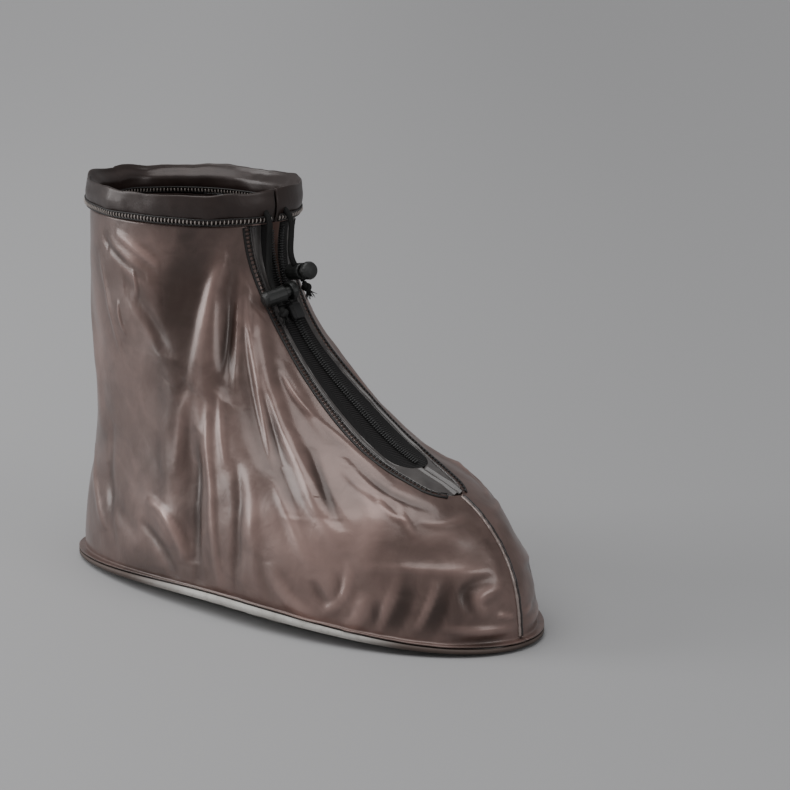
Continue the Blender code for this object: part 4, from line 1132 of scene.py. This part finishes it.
def zip_half(word, side, table):
    """Tape and strip on one side: the tape has a round lower end, and the strip fills what the panel leaves,
    with a soft fold beside the tape and a narrower one below it."""
    start = tape_start_run + tape_width * np.sin(np.linspace(0.06, math.pi / 2, 24))**2
    run = np.concatenate([start, np.linspace(start[-1], tape_end_run, 130)[1:]])
    place, out, uv = edge_grid(side, run, mouth(run), tape_gap(run), 14, table)
    tape = film_sheet(word + "_tape", place, place - out * tape_thick, woven, uv)
    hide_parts(word + "_zip_tape")
    first = foot_run + 0.0012
    run = np.concatenate([first + vee_reach * np.sin(np.linspace(0, math.pi / 2, 26))**2,
                          np.linspace(first + vee_reach, tape_end_run, 170)[1:]])
    high = opening(side, run, fit)
    low = np.where(run > tape_start_run - fit, tape_gap(run, fit), fit / 2)
    high = np.maximum(high, low + 0.0006)
    place, out, uv = edge_grid(side, run, low, high, 26, table)
    across = np.linspace(0, 1, 26)[None, :]
    above = np.clip((run - tape_start_run) / 0.012, 0, 1)[:, None]
    fold = np.exp(-((across - 0.62) / 0.16)**2) * 0.0009 * above
    fold = fold + np.exp(-((uv[..., 0] - 0.0020) / 0.0009)**2) * 0.0012 * (1 - above)
    edge = np.clip(across * (1 - across) * 12, 0, 1)
    place = place + out * (fold * edge + crumple(place, 53 + side, 0.0026, 0.0006) * edge)[..., None]
    strip = film_sheet(word + "_strip", place, place - out * thin, strip_film, uv)
    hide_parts(word + "_zip_strip")


halves = (("right", -1, right_folds), ("left", 1, left_folds))
for half in halves:
    zip_half(*half)

# %% [markdown]
# ## Coil teeth and slider
# The teeth of a coil zip are one nylon filament wound in a spiral. Seen from outside, each turn is a short
# bar across the tape's edge, so each tooth is a small bowed bar, and the two rows sit half a pitch apart.

# %% Short bars: teeth and stitches
def bars(middle, way, out, reach, radius, bow=1.6, rings=6, sides=6):
    """Many short rods as one solid: middle + way s reach / 2 + out (1 - s^2) bow radius, for s from -1 to 1,
    round in section and thinner at both ends."""
    s = np.linspace(-1, 1, rings)
    count = len(middle)
    line = middle[:, None] + way[:, None] * (s[:, None] * reach / 2)
    line = line + out[:, None] * ((1 - s**2) * radius * bow)[:, None]
    across = unit(np.cross(way, out))
    angle = np.linspace(0, 2 * math.pi, sides, endpoint=False)
    ring = across[:, None] * np.cos(angle)[:, None] + out[:, None] * np.sin(angle)[:, None]
    thick = radius * np.sqrt(1 - (s * 0.90)**2)
    rods = line[:, :, None] + ring[:, None] * thick[:, None, None]
    ends = np.repeat(line[:, [0, -1], None], sides, axis=2)
    rods = np.concatenate([ends[:, :1], rods, ends[:, 1:]], axis=1)
    faces = quads(rings + 2, sides, around=True)
    shift = np.arange(count)[:, None, None] * (rings + 2) * sides
    return rods.reshape(-1, 3), (faces[None] + shift).reshape(-1, 4)


nylon = moulded_finish("black_nylon", (0.010, 0.010, 0.010), (0.022, 0.022, 0.022), 0.30)


def teeth(word, side, table):
    shift = 0 if side < 0 else tooth_pitch / 2
    run = np.arange(tape_start_run + 0.0040 + shift, tape_end_run - 0.002, tooth_pitch)
    low = mouth(run) - fit
    place, out, _ = edge_grid(side, run, low, low + tooth_length, 2, table)
    way = unit(place[:, 1] - place[:, 0])
    middle = place.mean(1) + out.mean(1) * (fit + 0.00055)
    row = bars(middle, way, unit(out.mean(1)), tooth_length, tooth_radius, 0.5)
    piece = add_piece(word + "_teeth", row, nylon)
    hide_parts(word + "_zip_coil")


for half in halves:
    teeth(*half)
nodes["zip_slider"].material_slots[0].material = nylon

# %% [markdown]
# ## Stitches and piping
# A stitch runs over the seams beside the zip and round the collar like a ladder: short threads square to the
# seam and a thread along each of their ends. On both sides of the zip a narrow rolled edge of film stands up
# and catches the light.

# %% Thread and ladders
def thread_finish(name, dark, light):
    finish = Finish(name)
    fluff = finish.noise(3000, 2)
    colour = finish.mix(fluff, dark, light)
    return finish.surface(base_color=colour, roughness=0.55, normal=finish.bump(fluff, 0.0002, 0.6))


thread = thread_finish("black_thread", (0.006, 0.005, 0.005), (0.022, 0.020, 0.019))
hem_thread = thread_finish("hem_thread", (0.260, 0.225, 0.205), (0.460, 0.415, 0.385))


def ladder(name, line, up_way, out, rung, width, rails, rung_finish, rail_finish):
    """Rungs square to a line at each of its points, and running threads: rails has the share of the rung
    where each runs and how thick it is."""
    rungs = add_piece(name + "_rungs", bars(line + out * 0.0003, up_way, out, rung, width), rung_finish)
    rods = [rod_solid(sweep(line + up_way * rung * k + out * 0.0001, out, width * thick, 6))
            for k, thick in rails]
    runners = add_piece(name + "_runners", gather_solids(rods), rail_finish)


def zip_ladder(word, side, table):
    """A ladder over the seam between a panel and its strip, from the zip's foot to the collar."""
    stitch_pitch, stitch_length, stitch_radius = 0.0022, 0.0032, 0.00034
    run = np.arange(foot_run + 0.0015, top_run - 0.001, stitch_pitch)
    middle = opening(side, run) + 0.0008
    place, out, _ = edge_grid(side, run, middle - 0.001, middle + 0.001, 3, table)
    across = unit(place[:, 2] - place[:, 0])
    along = unit(np.gradient(place[:, 1], axis=0))
    square = np.cross(out[:, 1], along)
    across = unit(square * np.sign((square * across).sum(-1, keepdims=True)))
    ladder(word + "_zip_stitches", place[:, 1], across, out[:, 1], stitch_length, stitch_radius,
           ((-0.5, 0.8), (0.5, 2.0)), thread, thread)


def collar_ladder(name, rows):
    """A ladder round the tunnel's skin, at the middle one of three outline rows."""
    rings, ways = collar_line(rows, 82, 0.0, 0.002)
    up_way = unit(rings[:, 2] - rings[:, 0])
    along = unit(np.gradient(rings[:, 1], axis=0))
    out = unit(np.cross(along, up_way))
    out = out * np.sign((out * ways[:, 1]).sum(-1, keepdims=True)) * np.sign(rows[1][1])
    ladder(name, rings[:, 1] + out * 0.0005, up_way, out, 0.0026, 0.00036, ((-0.62, 1.6), (0.62, 1.2)),
           hem_thread, thread)


for half in halves:
    zip_ladder(*half)
collar_ladder("collar_stitches", [(0.06, 0.56), (0.15, 0.76), (0.24, 0.90)])
collar_ladder("collar_inner_stitches", [(0.06, -0.56), (0.15, -0.76), (0.24, -0.92)])


# %% Rolled edges beside the zip
def piping(word, side, table):
    """A thin glossy bead on the strip, just inside the stitches, that swells and thins as rolled film
    does."""
    run = np.linspace(foot_run + 0.004, top_run - 0.001, 200)
    arc = np.maximum(opening(side, run) - 0.0012, 0.0008)
    place, out, _ = edge_grid(side, run, arc, arc, 1, table)
    width = 0.00055 + 0.00020 * np.sin(run * 330 + 2 * side) * np.sin(run * 95)
    bead = rod_solid(sweep(place[:, 0] + out[:, 0] * 0.0002, out[:, 0], width, 10, 0.8))
    piece = add_piece(word + "_piping", bead, strip_film)


for half in halves:
    piping(*half)

# %% [markdown]
# ## Floor and light
# The cover stands on a plain pale floor that runs out of the picture. Its colour darkens slowly across it,
# from the camera's left to its right: painted shade, the fall of light away from the lamps at the left. Soft
# light comes from a wide sun overhead, one big lamp beside the heel and a weak one in front, so that the
# folds show as long soft streaks.

# %% Floor
def floor_piece():
    finish = Finish("studio_floor")
    x, y, _ = finish.parts(finish.place())
    # Painted shade: the floor's colour darkens from the camera's left to its right, as light falls off away
    # from the lamps.
    painted_falloff = finish.smooth(x * float(right.x) + y * float(right.y), -0.30, 0.34)
    colour = finish.mix(painted_falloff, (0.405, 0.405, 0.410), (0.325, 0.325, 0.330))
    finish.surface(base_color=colour, roughness=0.60, specular_ior_level=0.3)
    mesh = bpy.data.meshes.new("floor")
    mesh.from_pydata([(-7, -7, 0), (7, -7, 0), (7, 7, 0), (-7, 7, 0)], [], [(0, 1, 2, 3)])
    mesh.materials.append(finish.material)
    piece = put("floor", mesh)


floor_piece()


# %% Lights
def lamp(name, kind, way, place=(0.0, 0.0, 0.0), **settings):
    """A lamp at place that shines from way. A distant one has no place of its own."""
    data = bpy.data.lights.new(name, kind)
    for key, value in settings.items():
        setattr(data, key, value)
    turned = Vector(way).to_track_quat("Z", "Y").to_matrix().to_4x4()
    put(name, data).matrix_world = Matrix.Translation(place) @ turned


lamp("sky", "SUN", (-0.10, -0.30, 1.0), energy=1.9, angle=math.radians(60))
aim = Vector((0.0, 0.0, 0.10))
for name, place, wide, high, power in (("heel_side", (-1.55, -1.20, 0.75), 1.0, 1.3, 22),
                                       ("front", (1.60, -0.10, 0.80), 0.7, 0.7, 5)):
    lamp(name, "AREA", Vector(place) - aim, place, shape="RECTANGLE", size=wide, size_y=high, energy=power)
world = bpy.data.worlds.new("studio")
bpy.context.scene.world = world
world.use_nodes = True
world.node_tree.nodes["Background"].inputs[0].default_value = (0.30, 0.30, 0.305, 1.0)
print("lights are set")
